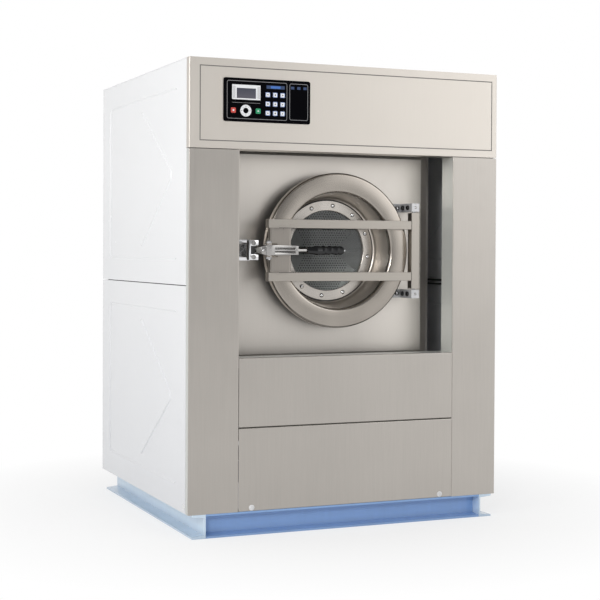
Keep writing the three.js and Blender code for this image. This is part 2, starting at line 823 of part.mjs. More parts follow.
function rearPanelSolid() {
  const reach = half - sidePanel.flange - seat;
  const top = cabinet.height - header.sheet - seat;
  const bottom = seat;
  const slots = [];
  for (let i = 0; i < louvre.count; i += 1) {
    const z = louvre.bottom + i * louvre.pitch;
    [-1, 1].forEach((side) => slots.push(louvreSlot(side * louvre.columnOffset, z)));
  }
  const through = [rearInner - overrun, rearOuter + overrun];
  const hole = bar('y', drain.pipe + rearPanel.drainClearance, through, [drain.x, drainAxis], pulleySides);
  const plain = cut(block([-reach, reach], [rearInner, rearOuter], [bottom, top]), hole);
  const rooted = rearOuter - cabinet.sheet / 2;
  const inletZ = cabinet.height - inlet.fromTop;
  const inletXs = [half - inlet.fromRight, half - inlet.fromRight - inlet.spacing];
  const inlets = inletXs.map((x) => join(
    bar('y', inlet.radius, [rooted, rearOuter + inlet.length], [x, inletZ], inletSides),
    bar('y', inlet.flangeRadius, [rooted, rearOuter + inletBody.flangeThickness], [x, inletZ], inletSides),
    block(
      [x - inletBody.width / 2, x + inletBody.width / 2],
      [rearInner - inletBody.depth, rooted],
      [inletZ - inletBody.height / 2, inletZ + inletBody.height / 2],
    ),
  ));
  const glandAt = [-half + gland.fromLeft, cabinet.height - gland.fromTop];
  const glandSpan = [rearInner - gland.nutLength, rearOuter + gland.length];
  const cableGland = join(
    bar('y', gland.radius, glandSpan, glandAt),
    bar('y', gland.nut, [rooted, rearOuter + gland.nutLength], glandAt, nutSides),
  );
  const inletBoreSpan = [rearInner, rearOuter + inlet.length + overrun];
  const bores = inletXs.map((x) => bar('y', inlet.bore, inletBoreSpan, [x, inletZ]));
  const glandBore = bar('y', gland.bore, [glandSpan[0] - overrun, glandSpan[1] + overrun], glandAt);
  const open = cut(plain, ...slots.map(({ opening }) => opening));
  return cut(join(open, ...slots.map(({ shell }) => shell), ...inlets, cableGland), ...bores, glandBore);
}

place(onBase, 'rear_panel', rearPanelSolid(), whiteEnamel);

// Springs that carry the tub

// A round wire wound into an open coil. The last turn at each end lies almost flat on its seat.
function coilSpring() {
  const wire = coil.wire / 2;
  const turns = coil.openTurns + 2 * coil.closedTurns;
  const steps = turns * coil.stepsPerTurn;
  const closedRise = coil.closedTurns * (coil.wire + 2 * seat);
  const openRise = coil.height - coil.wire - 2 * seat - 2 * closedRise;
  const heightAt = (turn) => (
    closedRise * THREE.MathUtils.clamp(turn / coil.closedTurns, 0, 1)
    + openRise * THREE.MathUtils.clamp((turn - coil.closedTurns) / coil.openTurns, 0, 1)
    + closedRise * THREE.MathUtils.clamp((turn - coil.closedTurns - coil.openTurns) / coil.closedTurns, 0, 1)
  );
  const rings = Array.from({ length: steps + 1 }, (_, i) => {
    const turn = i / coil.stepsPerTurn;
    const angle = 2 * Math.PI * turn;
    const height = seat + wire + heightAt(turn);
    return Array.from({ length: coil.sides }, (__, k) => {
      const round = (2 * Math.PI * k) / coil.sides + Math.PI / 2;
      const reach = coil.meanRadius + wire * Math.cos(round);
      return [reach * Math.cos(angle), reach * Math.sin(angle), height + wire * Math.sin(round)];
    });
  });
  return sweep(rings);
}

const springBody = coilSpring();
[['left', -1], ['right', 1]].forEach(([side, way]) => {
  [['front', 0], ['rear', 1]].forEach(([end, row]) => {
    const mesh = place(onBase, `suspension_spring_${end}_${side}`, springBody, springSteel);
    mesh.position.set(way * springOffset, cradleMiddles[row], 0);
  });
});

// Tub front plate: a pan with large bends, and a collar round the mouth that backs the gasket

function panBlock(inset) {
  const front = tubPlate.depth + inset;
  const back = tubPlate.depth + tubPlate.skirt + (inset > 0 ? overrun : 0);
  const bend = tubPlate.bend - inset;
  const reach = columnEdge + tubPlate.behindColumn - inset;
  const across = roundedPath([[-reach, back], [-reach, front], [reach, front], [reach, back]], () => bend);
  const top = tubPlate.top - inset;
  const bottom = -tubPlate.bottom + inset;
  const upright = roundedPath([[back, top], [front, top], [front, bottom], [back, bottom]], () => bend);
  return extrude(across, 'plan', [bottom, top]).intersect(extrude(upright, 'side', [-reach, reach]));
}

function tubFrontPlate() {
  const pan = cut(panBlock(0), panBlock(tubPlate.sheet));
  const collarFront = tubPlate.depth - tubMouth.collar;
  const collarSpan = [collarFront, tubPlate.depth + tubPlate.sheet / 2];
  const mouthSpan = [collarFront - overrun, tubPlate.depth + tubPlate.skirt];
  const collar = bar('y', tubMouth.radius + tubPlate.sheet, collarSpan, [0, 0], doorSides);
  const mouth = bar('y', tubMouth.radius, mouthSpan, [0, 0], doorSides);
  return cut(join(pan, collar), mouth);
}

place(onTub, 'tub_front_plate', tubFrontPlate(), brushedSteel);

function outerTub() {
  const section = sheetSection(
    [
      [tubShoulder.opening, tubFront],
      [tubShoulder.radius, tubFront],
      [tub.radius + tub.sheet, tubFront + tubShoulder.depth],
      [tub.radius + tub.sheet, tubRear],
      [tub.shaftHole, tubRear],
    ],
    tub.sheet,
    [0, 0, tub.bend],
    1,
  );
  const doubler = revolve(
    [
      [tub.shaftHole, tubRear - tub.sheet / 2],
      [bearing.flangeRadius, tubRear - tub.sheet / 2],
      [bearing.flangeRadius, tubRear + tub.doublerThickness],
      [tub.shaftHole, tubRear + tub.doublerThickness],
    ],
    drumSides,
  );
  return join(revolve(section, drumSides), doubler);
}

place(onTub, 'outer_tub', outerTub(), polishedSteel);

// Door gasket between the collar's edge and the door's ring

function doorGasket() {
  const back = tubPlate.depth - seat;
  const front = door.face + door.rim + seat;
  const middle = (gasket.innerRadius + gasket.outerRadius) / 2;
  const crown = (gasket.outerRadius - gasket.innerRadius) / 2;
  const nose = arcPoints([0, 0], 1, 0, -180, bendSteps + 1).map(([across, forward]) => (
    [middle + across * crown, front + (1 + forward) * gasket.nose]
  ));
  return revolve([[gasket.outerRadius, back], ...nose, [gasket.innerRadius, back]], doorSides);
}

place(onTub, 'door_gasket', doorGasket(), blackRubber);

// Bearing housing: a flanged cone with ribs

function bearingHousing() {
  const body = revolve(
    [
      [shaft.radius + runningGap, housingFront],
      [bearing.flangeRadius, housingFront],
      [bearing.flangeRadius, housingFront + bearing.flange],
      [bearing.rootRadius, housingFront + bearing.flange],
      [bearing.tipRadius, housingRear],
      [shaft.radius + runningGap, housingRear],
    ],
    pulleySides,
  );
  const rib = extrude(
    [
      [bearing.tipRadius - bearing.flange, housingFront + bearing.flange / 2],
      [bearing.flangeRadius - bearing.flange / 2, housingFront + bearing.flange / 2],
      [bearing.flangeRadius - bearing.flange / 2, housingFront + 2 * bearing.flange],
      [bearing.tipRadius - bearing.flange / 2, housingRear - bearing.flange],
      [bearing.tipRadius - bearing.flange, housingRear - bearing.flange],
    ],
    'plan',
    [-bearing.ribThickness / 2, bearing.ribThickness / 2],
  );
  return join(body, ...turnsOf(bearing.ribs).map((turn) => rib.rotate(turn)));
}

place(onTub, 'bearing_housing', bearingHousing(), castIron);

// Cradles: cross beams on the springs, each with a neck that holds the tub

function tubCradle(depth) {
  const low = coil.height - axisHeight;
  const beamTop = low + cradle.beam;
  const facet = 360 / drumSides;
  const shellRadius = tub.radius + tub.sheet + seat / Math.cos(Math.PI / drumSides);
  const halfAngle = cradle.neckFacets * facet;
  const beamHalf = springOffset + cradle.beamEnd;
  const saddle = arcPoints([0, 0], shellRadius, -90 + halfAngle, -90 - halfAngle, 2 * cradle.neckFacets);
  const outline = [
    [-beamHalf, low],
    [beamHalf, low],
    [beamHalf, beamTop],
    [cradle.neckFoot, beamTop],
    ...saddle,
    [-cradle.neckFoot, beamTop],
    [-beamHalf, beamTop],
  ];
  return extrude(outline, 'front', [depth, depth + cradle.width]);
}

place(onTub, 'tub_cradle_front', tubCradle(cradleFrontDepth), castIron);
place(onTub, 'tub_cradle_rear', tubCradle(cradleRearDepth), castIron);

// Drum with hollow lifters. Each lifter is drained through holes in the drum's sheet.

function lifterSolids() {
  const wall = drum.radius + drum.sheet / 2;
  const spread = THREE.MathUtils.radToDeg(Math.asin(lifter.base / 2 / wall));
  const ridge = -(drum.radius - lifter.height);
  const outlineAt = (inset, reach) => [
    ...arcPoints([0, 0], reach, -90 - spread, -90 + spread, 2 * bendSteps).map(([x, z]) => (
      [x - Math.sign(x) * 2 * inset, z]
    )),
    [lifter.ridge / 2 - inset / 2, ridge - 2 * inset],
    [-lifter.ridge / 2 + inset / 2, ridge - 2 * inset],
  ];
  const front = drumFront + lifter.endGap;
  const rear = drumRear - drum.sheet / 2;
  const body = extrude(outlineAt(0, wall), 'front', [front, rear]);
  const hollowSpan = [front + lifter.sheet, rear - lifter.sheet];
  const hollow = extrude(outlineAt(lifter.sheet, wall + overrun), 'front', hollowSpan);
  const drains = Array.from({ length: lifter.drains }, (_, i) => {
    const depth = front + ((i + 1) * (rear - front)) / (lifter.drains + 1);
    return bar('z', lifter.drain, [-wall - overrun, -wall + overrun], [0, depth]);
  });
  return { shell: cut(body, hollow), drains: join(...drains) };
}

function innerDrum() {
  const outer = drum.radius + drum.sheet;
  const section = sheetSection(
    [
      [drum.mouth, drumFront + drum.lip],
      [drum.mouth, drumFront],
      [outer, drumFront],
      [outer, drumRear],
      [0, drumRear],
    ],
    drum.sheet,
    drum.bend,
    1,
  );
  const { shell, drains } = lifterSolids();
  const angles = turnsOf(lifter.count, firstLifterDegrees);
  const drumShell = revolve(section, drumSides);
  return cut(
    join(drumShell, ...angles.map((turn) => shell.rotate(turn))),
    ...angles.map((turn) => drains.rotate(turn)),
  );
}

place(onTub, 'inner_drum', innerDrum(), polishedSteel);

// Shaft with the spider behind the drum

const spiderFront = drumRear + seat;

function drumShaft() {
  const spiderRear = spiderFront + spider.thickness;
  const steps = revolve(
    [
      [0, spiderFront],
      [spider.hubRadius, spiderFront],
      [spider.hubRadius, spiderRear],
      [shaft.radius, spiderRear],
      [shaft.radius, housingRear],
      [shaft.noseRadius, housingRear],
      [shaft.noseRadius, pulleyBack],
      [0, pulleyBack],
    ],
    pulleySides,
  );
  const tip = drum.radius - spider.tipGap;
  const arm = extrude(
    [
      [-spider.armWidth / 2, 0],
      [spider.armWidth / 2, 0],
      [spider.armWidth / 3, tip],
      [-spider.armWidth / 3, tip],
    ],
    'front',
    [spiderFront, spiderRear],
  );
  return join(steps, ...turnsOf(spider.arms).map((turn) => arm.rotate(turn)));
}

place(onTub, 'drum_shaft', drumShaft(), castIron);

// Pulleys: a lip each side keeps the belt on

function drumPulleySolid() {
  const front = pulleyFront;
  const bore = shaft.noseRadius + seat;
  const lipRadius = drumPulley.radius + drumPulley.lip;
  const rimInner = drumPulley.radius - drumPulley.rim;
  const webFront = front + (drumPulley.width - drumPulley.web) / 2;
  const webBack = webFront + drumPulley.web;
  const body = revolve(
    [
      [bore, front],
      [drumPulley.hubRadius, front],
      [drumPulley.hubRadius, webFront],
      [rimInner, webFront],
      [rimInner, front],
      [lipRadius, front],
      [lipRadius, front + drumPulley.lipWidth],
      [drumPulley.radius, front + drumPulley.lipWidth],
      [drumPulley.radius, pulleyBack - drumPulley.lipWidth],
      [lipRadius, pulleyBack - drumPulley.lipWidth],
      [lipRadius, pulleyBack],
      [rimInner, pulleyBack],
      [rimInner, webBack],
      [drumPulley.hubRadius, webBack],
      [drumPulley.hubRadius, pulleyBack],
      [bore, pulleyBack],
    ],
    pulleySides,
  );
  const hole = bar('y', drumPulley.holeRadius, [front, pulleyBack], [0, drumPulley.holeCircle]);
  return cut(body, ...turnsOf(drumPulley.holes).map((turn) => hole.rotate(turn)));
}

place(onTub, 'drum_pulley', drumPulleySolid(), castIron);

function motorPulleySolid() {
  const front = pulleyFront;
  const lipRadius = motorPulley.radius + drumPulley.lip;
  return revolve(
    [
      [0, motorRear - motorPulley.shaftDepth],
      [motorPulley.shaftRadius, motorRear - motorPulley.shaftDepth],
      [motorPulley.shaftRadius, front],
      [lipRadius, front],
      [lipRadius, front + drumPulley.lipWidth],
      [motorPulley.radius, front + drumPulley.lipWidth],
      [motorPulley.radius, pulleyBack - drumPulley.lipWidth],
      [lipRadius, pulleyBack - drumPulley.lipWidth],
      [lipRadius, pulleyBack],
      [0, pulleyBack],
    ],
    pulleySides,
  ).translate([motorX, 0, motor.height]);
}

place(onTub, 'motor_pulley', motorPulleySolid(), castIron);

// Motor on two rails across the cradles

function driveMotor() {
  const centre = [motorX, motor.height];
  const shell = revolve(
    [
      [0, motorFront],
      [motor.endBellRadius, motorFront],
      [motor.radius, motorFront + motor.endBellLength],
      [motor.radius, motorRear - motor.endBellLength],
      [motor.endBellRadius, motorRear],
      [0, motorRear],
    ],
    pulleySides,
  ).translate([motorX, 0, motor.height]);
  const finSpan = [motorFront + motor.endBellLength, motorRear - motor.endBellLength];
  const fin = block([-motor.finWidth / 2, motor.finWidth / 2], finSpan, [0, motor.radius + motor.finDepth]);
  const fins = turnsOf(motor.fins, 180 / motor.fins).map((turn) => (
    fin.rotate(turn).translate([motorX, 0, motor.height])
  ));
  const middle = (motorFront + motorRear) / 2;
  const terminals = block(
    [motorX - motorBox.width / 2, motorX + motorBox.width / 2],
    [middle - motorBox.depth / 2, middle + motorBox.depth / 2],
    [motor.height, motor.height + motor.radius + motorBox.height],
  );
  const railBottom = coil.height - axisHeight + cradle.beam + seat;
  const railTop = railBottom + motorFeet.railHeight;
  const feet = [-1, 1].flatMap((side) => {
    const railX = motorX + side * (motorFeet.width - motorFeet.railWidth) / 2;
    const wallX = motorX + side * (motor.radius / 2 + motorFeet.wall / 2);
    return [
      block(
        [railX - motorFeet.railWidth / 2, railX + motorFeet.railWidth / 2],
        [cradleFrontDepth, cradleRearDepth + cradle.width],
        [railBottom, railTop],
      ),
      block([wallX - motorFeet.wall / 2, wallX + motorFeet.wall / 2], finSpan, [railTop, motor.height]),
    ];
  });
  const plate = block(
    [motorX - motorFeet.width / 2, motorX + motorFeet.width / 2],
    finSpan,
    [railTop - seat, railTop + motorFeet.thickness],
  );
  const bore = bar(
    'y',
    motorPulley.shaftRadius + runningGap,
    [motorRear - motorPulley.shaftDepth - 2 * seat, motorRear + overrun],
    centre,
    pulleySides,
  );
  return cut(join(shell, ...fins, terminals, ...feet, plate), bore);
}

place(onTub, 'drive_motor', driveMotor(), motorPaint);

// Belt round both pulleys on their outer tangents

function beltOutline(outward) {
  const half = THREE.MathUtils.degToRad(belt.arcStep / 2);
  const reach = Math.hypot(motorX, motor.height);
  const big = (drumPulley.radius + seat + outward) / Math.cos(half);
  const small = (motorPulley.radius + seat + outward) / Math.cos(half);
  const lean = THREE.MathUtils.radToDeg(Math.acos((big - small) / reach));
  const line = THREE.MathUtils.radToDeg(Math.atan2(motor.height, motorX));
  const bigSteps = Math.ceil((360 - 2 * lean) / belt.arcStep);
  const smallSteps = Math.ceil((2 * lean) / belt.arcStep);
  return [
    ...arcPoints([0, 0], big, line + lean, line + 360 - lean, bigSteps),
    ...arcPoints([motorX, motor.height], small, line - lean, line + lean, smallSteps),
  ];
}

function driveBelt() {
  const span = [
    pulleyFront + drumPulley.lipWidth + seat,
    pulleyBack - drumPulley.lipWidth - seat,
  ];
  return cut(
    extrude(beltOutline(belt.thickness), 'front', span),
    extrude(beltOutline(0), 'front', [span[0] - overrun, span[1] + overrun]),
  );
}

place(onTub, 'drive_belt', driveBelt(), blackRubber);

// Drain: a neck under the tub, the valve, and a pipe that turns back to the rear

function drainValveSolid() {
  const neckTop = -tub.radius;
  const valveTop = neckTop - drainValve.neck;
  const valveBottom = valveTop - drainValve.height;
  const outlet = drain.outletHeight - base.height - axisHeight;
  const outletEnd = cabinet.depth + drain.proud;
  const neck = bar('z', drain.pipe, [valveTop, neckTop], [drain.x, drainDepth], pulleySides / 2);
  const body = block(
    [drain.x - drainValve.size / 2, drain.x + drainValve.size / 2],
    [drainDepth - drainValve.size / 2, drainDepth + drainValve.size / 2],
    [valveBottom, valveTop],
  );
  const actuator = bar(
    'x',
    drainValve.actuatorRadius,
    [drain.x - drainValve.size / 2 - drainValve.actuator, drain.x],
    [drainDepth, (valveTop + valveBottom) / 2],
    pulleySides / 2,
  );
  const ringAt = (y, z, lean) => Array.from({ length: pulleySides / 2 }, (_, k) => {
    const round = (2 * Math.PI * k) / (pulleySides / 2);
    const across = drain.pipe * Math.cos(round);
    const up = drain.pipe * Math.sin(round);
    return [drain.x + across, y + up * Math.cos(lean), z + up * Math.sin(lean)];
  });
  const turn = Array.from({ length: drain.bendSteps + 1 }, (_, i) => {
    const lean = (Math.PI / 2) * (i / drain.bendSteps);
    const y = drainDepth + drain.bend * (1 - Math.cos(lean));
    const z = outlet + drain.bend * (1 - Math.sin(lean));
    return ringAt(y, z, lean);
  });
  const pipe = sweep([
    ringAt(drainDepth, valveBottom + drain.wall, 0),
    ...turn,
    ringAt(outletEnd, outlet, Math.PI / 2),
  ]);
  const clearOfTub = tub.radius + tub.sheet + seat;
  const tubRoom = revolve(
    [[0, 0], [clearOfTub, 0], [clearOfTub, cabinet.depth], [0, cabinet.depth]],
    drumSides,
  );
  const shell = cut(neck, tubRoom);
  const boreSpan = [outletEnd - drain.bore, outletEnd + overrun];
  const bore = bar('y', drain.pipe - drain.wall, boreSpan, [drain.x, outlet], pulleySides / 2);
  return cut(join(shell, body, actuator, pipe), bore);
}

place(onTub, 'drain_valve', drainValveSolid(), whitePlastic);

// Door: one dished ring of sheet, revolved. From the glass pocket it runs up the bowl, rolls over
// the lip, crosses the flat face and turns back at the rim.

const pocketFront = door.face + door.bowlDepth;
const pocketBack = pocketFront + glass.step;
const pocketRadius = glass.radius + door.pocketGap;

function doorRing() {
  const section = sheetSection(
    [
      [glass.opening, pocketBack],
      [pocketRadius, pocketBack],
      [pocketRadius, pocketFront],
      [door.bowl, pocketFront],
      [door.lip, door.face],
      [door.radius, door.face],
      [door.radius, door.face + door.rim],
    ],
    door.sheet,
    [0, 0, 0, door.lipBend, door.rimBend],
    doorBendSteps,
  );
  return revolve(section, doorSides);
}

place(onTub, 'door_ring', doorRing(), polishedSteel);

function ringPlate(inner, outer, [front, back]) {
  return revolve([[inner, front], [outer, front], [outer, back], [inner, back]], doorSides);
}

const glassPane = bar('y', glass.radius, [pocketFront, pocketBack - seat], [0, 0], doorSides);
place(onTub, 'door_glass', glassPane, clearGlass);

const clampSpan = [pocketFront - seat - clampRing.thickness, pocketFront - seat];
const clampBody = ringPlate(clampRing.innerRadius, clampRing.outerRadius, clampSpan);
place(onTub, 'glass_clamp_ring', clampBody, brushedSteel);

// Yoke of square tube across the ring's face, with the hinge post on its right

const yokeBack = door.face - seat;
const yokeSpan = [yokeBack - yoke.tube, yokeBack];
const yokeCore = [yokeSpan[0] + yoke.wall, yokeSpan[1] - yoke.wall];
const hingeY = yokeBack - yoke.tube / 2;
const postLeft = hinge.x - yoke.tube / 2;

function yokeBar(way) {
  const middle = (way * yoke.spread) / 2;
  const reach = yoke.tube / 2;
  const end = postLeft - seat;
  const tube = block([yoke.barLeft, end], yokeSpan, [middle - reach, middle + reach]);
  const core = block(
    [yoke.barLeft + yoke.wall, end + overrun],
    yokeCore,
    [middle - reach + yoke.wall, middle + reach - yoke.wall],
  );
  return cut(tube, core);
}

place(onTub, 'yoke_bar_upper', yokeBar(1), brushedSteel);
place(onTub, 'yoke_bar_lower', yokeBar(-1), brushedSteel);

function yokePost() {
  const reach = yoke.tube / 2;
  const tube = block([hinge.x - reach, hinge.x + reach], yokeSpan, [-yoke.postHalf, yoke.postHalf]);
  const core = block(
    [hinge.x - reach + yoke.wall, hinge.x + reach - yoke.wall],
    yokeCore,
    [-yoke.postHalf + yoke.plug, yoke.postHalf - yoke.plug],
  );
  const bore = bar(
    'z',
    hinge.pin + runningGap,
    [-yoke.postHalf - overrun, yoke.postHalf + overrun],
    [hinge.x, hingeY],
  );
  return cut(tube, core, bore);
}

place(onTub, 'yoke_post', yokePost(), brushedSteel);

// Hinge brackets: an arm from the tub's front plate to a pin in each end of the post

function hingeBracket(way) {
  const reach = yoke.tube / 2;
  const low = yoke.postHalf + hinge.gap;
  const span = [low, low + hinge.height];
  const foot = tubPlate.depth - seat;
  const arm = block([hinge.x - reach, hinge.x + reach], [yokeSpan[0], foot], span);
  const base = block(
    [hinge.x + reach - hinge.footLength, hinge.x + reach],
    [foot - hinge.footThickness, foot],
    span,
  );
  const pinSpan = [yoke.postHalf - hinge.pinLength, low + hinge.height / 2];
  const pin = bar('z', hinge.pin, pinSpan, [hinge.x, hingeY]);
  const bracket = join(arm, base, pin);
  return way > 0 ? bracket : bracket.mirror([0, 0, 1]);
}

place(onTub, 'hinge_bracket_upper', hingeBracket(1), chromed);
place(onTub, 'hinge_bracket_lower', hingeBracket(-1), chromed);

// Latch plate between the yoke's bars, with two lugs for the latch pin

const plateFront = yokeSpan[0] + latchPlate.recess;
const plateHalf = yoke.spread / 2 - yoke.tube / 2 - seat;
const pinBore = pivot.radius + runningGap;
const lugStart = lever.half + lug.gap;

function latchPlateSolid() {
  const back = plateFront + latchPlate.flange;
  const section = sheetSection(
    [
      [latchPlate.left, back],
      [latchPlate.left, plateFront],
      [latchPlate.right, plateFront],
      [latchPlate.right, back],
    ],
    latchPlate.sheet,
    latchPlate.bend,
  );
  const plate = extrude(section, 'plan', [-plateHalf, plateHalf]);
  const slot = block(
    [latchPlate.left - overrun, latchPlate.slotRight],
    [plateFront - overrun, back + overrun],
    [-latchPlate.slotHalf, latchPlate.slotHalf],
  );
  const root = plateFront + latchPlate.sheet / 2;
  const outline = convexOutline([
    ...arcPoints([pivot.x, pivot.depth], lug.radius, 0, 360 - 360 / boltSides, boltSides - 1),
    [lug.rootLeft, root],
    [lug.rootRight, root],
  ]);
  const lugBottoms = [lugStart, -lugStart - lug.thickness];
  const lugs = lugBottoms.map((z) => extrude(outline, 'plan', [z, z + lug.thickness]));
  const bore = bar('z', pinBore, [-plateHalf, plateHalf], [pivot.x, pivot.depth]);
  return cut(join(cut(plate, slot), ...lugs), bore);
}

place(onTub, 'latch_plate', latchPlateSolid(), brushedSteel);

function latchPin() {
  const nutStart = lugStart + lug.thickness + seat;
  const nutEnd = nutStart + pivot.nutHeight;
  const centre = [pivot.x, pivot.depth];
  const nut = bar('z', pivot.nutRadius, [nutStart, nutEnd], centre, nutSides);
  const dome = revolve(
    [
      [0, -pivot.nutHeight / 2],
      [pivot.domeRadius, -pivot.nutHeight / 2],
      [pivot.domeRadius, 0],
      [pivot.domeRadius * pivot.domeShare, pivot.domeHeight],
      [0, pivot.domeHeight],
    ],
    boltSides,
  ).rotate([90, 0, 0]).translate([pivot.x, pivot.depth, nutEnd]);
  const cap = join(nut, dome);
  const pin = bar('z', pivot.radius, [-nutEnd, nutEnd], centre);
  return join(pin, cap, cap.mirror([0, 0, 1]));
}

place(onTub, 'latch_pin', latchPin(), chromed);

// Latch lever: a block on the pin, two flanges and a back web that taper to a collar, and the rod

function latchLever() {
  const hub = block([lever.left, lever.blockRight], [lever.front, lever.back], [-lever.half, lever.half]);
  const flangeFront = lever.front + lever.step;
  const collarLeft = lever.right - lever.collar;
  const outline = [
    [lever.blockRight - lever.step, -lever.half],
    [collarLeft + lever.step, -lever.collarHalf],
    [collarLeft + lever.step, lever.collarHalf],
    [lever.blockRight - lever.step, lever.half],
  ];
  const body = extrude(outline, 'front', [flangeFront, lever.back]);
  const hollow = block(
    [lever.blockRight, collarLeft],
    [flangeFront - overrun, lever.back - lever.web],
    [-lever.collarHalf + lever.flange, lever.collarHalf - lever.flange],
  );
  const collarHeights = [-lever.collarHalf, lever.collarHalf];
  const collar = block([collarLeft, lever.right], [flangeFront, lever.back], collarHeights);
  const bore = bar('z', pinBore, [-lever.half - overrun, lever.half + overrun], [pivot.x, pivot.depth]);
  const shank = bar('x', rod.radius, [lever.blockRight - lever.step, rod.right], [pivot.depth, 0]);
  return cut(join(hub, cut(body, hollow), collar, shank), bore);
}

place(onTub, 'latch_lever', latchLever(), chromed);

// Hook on the lever's block; its nose stands beside the catch's roller when the latch is closed

function latchHook() {
  const root = lever.left - seat;
  const tip = roller.x + roller.radius + hook.noseGap;
  const front = lever.front + lever.step;
  const plan = extrude(
    [
      [root, front],
      [root, lever.back],
      [tip + hook.noseWidth + hook.claw, lever.back],
      [tip + hook.noseWidth, hook.noseBack],
      [tip, hook.noseBack],
      [tip, front + hook.chin],
      [tip + hook.chin, front],
    ],
    'plan',
    [-lever.half, lever.half],
  );
  const taper = extrude(
    [[root, -lever.half], [root, lever.half], [tip, hook.noseHalf], [tip, -hook.noseHalf]],
    'front',
    [0, door.face],
  );
  return plan.intersect(taper);
}

place(onTub, 'latch_hook', latchHook(), chromed);

function handleGrip() {
  const crown = grip.radius + grip.ribRise;
  const swellEnd = grip.left + grip.swell;
  const ribPlaces = Array.from({ length: gripRibs.count }, (_, i) => gripRibs.first + i * gripRibs.pitch);
  const ribs = ribPlaces.flatMap((x) => [
    [grip.radius, x - grip.ribWidth],
    [crown, x - grip.ribWidth / 3],
    [crown, x + grip.ribWidth / 3],
    [grip.radius, x + grip.ribWidth],
  ]);
  const section = [
    [0, grip.left + grip.bore],
    [rod.radius + seat, grip.left + grip.bore],
    [rod.radius + seat, grip.left],
    [grip.collarRadius, grip.left],
    [(grip.collarRadius + crown) / 2, (grip.left + swellEnd) / 2],
    [crown, swellEnd],
    ...ribs,
    [grip.radius, grip.right - grip.tip],
    [grip.radius * grip.tipShare, grip.right - grip.tip * (1 - grip.tipShare)],
    [grip.radius / 2, grip.right],
    [0, grip.right],
  ];
  return revolve(section, grip.sides).rotate([0, 0, -90]).translate([0, pivot.depth, 0]);
}

place(onTub, 'handle_grip', handleGrip(), blackPlastic);

// Catch: a slotted block on a channel that stands off from the tub's front plate, with a roller

function catchBracket() {
  const foot = tubPlate.depth - seat;
  const body = block(
    [catchBlock.left, catchBlock.right],
    [catchBlock.front, catchBlock.back],
    [-catchBlock.half, catchBlock.half],
  );
  const slot = block(
    [catchBlock.left + catchBlock.spine, catchBlock.right + overrun],
    [catchBlock.front - overrun, catchBlock.back + overrun],
    [-catchBlock.slotHalf, catchBlock.slotHalf],
  );
  const rollerPin = bar(
    'z',
    roller.pin,
    [-catchBlock.slotHalf - seat, catchBlock.slotHalf + seat],
    [roller.x, roller.depth],
  );
  const channelHeights = [-standOff.half, standOff.half];
  const channel = block([standOff.left, catchBlock.right], [catchBlock.back, foot], channelHeights);
  const hollow = block(
    [standOff.left - overrun, catchBlock.right - standOff.wall],
    [catchBlock.back - overrun, foot + overrun],
    [-standOff.half + standOff.wall, standOff.half - standOff.wall],
  );
  const overlap = block(
    [standOff.left, catchBlock.right],
    [catchBlock.back - seat, catchBlock.back + seat],
    [standOff.half - standOff.wall, standOff.half],
  );
  const plate = block(
    [standOff.left - standOff.footReach, catchBlock.right + standOff.footReach],
    [foot - standOff.foot, foot],
    [-standOff.footHalf, standOff.footHalf],
  );
  const channelShell = cut(channel, hollow);
  return join(cut(body, slot), rollerPin, channelShell, overlap, overlap.mirror([0, 0, 1]), plate);
}

place(onTub, 'catch_bracket', catchBracket(), chromed);

function catchRoller() {
  const reach = catchBlock.slotHalf - roller.endGap;
  const centre = [roller.x, roller.depth];
  const body = bar('z', roller.radius, [-reach, reach], centre, 2 * boltSides);
  const bore = bar('z', roller.pin + runningGap, [-reach - overrun, reach + overrun], centre);
  return cut(body, bore);
}

place(onTub, 'catch_roller', catchRoller(), blackRubber);

// The machine is centred over its own outline, its feet on the floor.

const keyFront = panelFront - key.proud;
const pipeEnd = cabinet.depth + drain.proud;
machine.position.y = -(keyFront + pipeEnd) / 2;

export default machine;
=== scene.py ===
import math

import bmesh
import bpy
from mathutils import Matrix, Vector


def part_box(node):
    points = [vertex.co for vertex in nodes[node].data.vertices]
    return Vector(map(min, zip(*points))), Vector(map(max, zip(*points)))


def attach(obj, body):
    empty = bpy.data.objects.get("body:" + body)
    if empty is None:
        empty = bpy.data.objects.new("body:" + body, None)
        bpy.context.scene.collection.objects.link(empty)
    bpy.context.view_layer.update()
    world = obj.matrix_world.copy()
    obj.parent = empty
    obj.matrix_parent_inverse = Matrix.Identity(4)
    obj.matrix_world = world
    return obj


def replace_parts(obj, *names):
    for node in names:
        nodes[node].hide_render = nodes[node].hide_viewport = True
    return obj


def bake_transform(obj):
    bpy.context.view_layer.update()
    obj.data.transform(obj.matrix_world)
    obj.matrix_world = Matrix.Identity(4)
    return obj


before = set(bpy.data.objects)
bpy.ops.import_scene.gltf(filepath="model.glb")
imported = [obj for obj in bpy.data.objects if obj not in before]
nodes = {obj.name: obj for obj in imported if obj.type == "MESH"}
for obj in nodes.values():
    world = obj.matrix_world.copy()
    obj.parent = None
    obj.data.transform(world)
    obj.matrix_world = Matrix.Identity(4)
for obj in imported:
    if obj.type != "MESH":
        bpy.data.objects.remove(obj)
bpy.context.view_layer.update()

# Places are written in millimetres: x to the right, depth back from the front panels, and height
# over the cabinet's underside or, for what hangs on the tub, over the drum's axis.
cabinetHeight, glassRadius = 1500, 151
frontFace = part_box("pilaster_left")[0].y * 1000
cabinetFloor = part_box("header_panel")[1].z * 1000 - cabinetHeight
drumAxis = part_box("door_glass")[0].z * 1000 + glassRadius


def onCabinet(x, depth, z):
    return Vector((x, frontFace + depth, cabinetFloor + z)) / 1000


def onTub(x, depth, z):
    return Vector((x, frontFace + depth, drumAxis + z)) / 1000


print("frame loaded")


# Shader sockets that take plain arithmetic

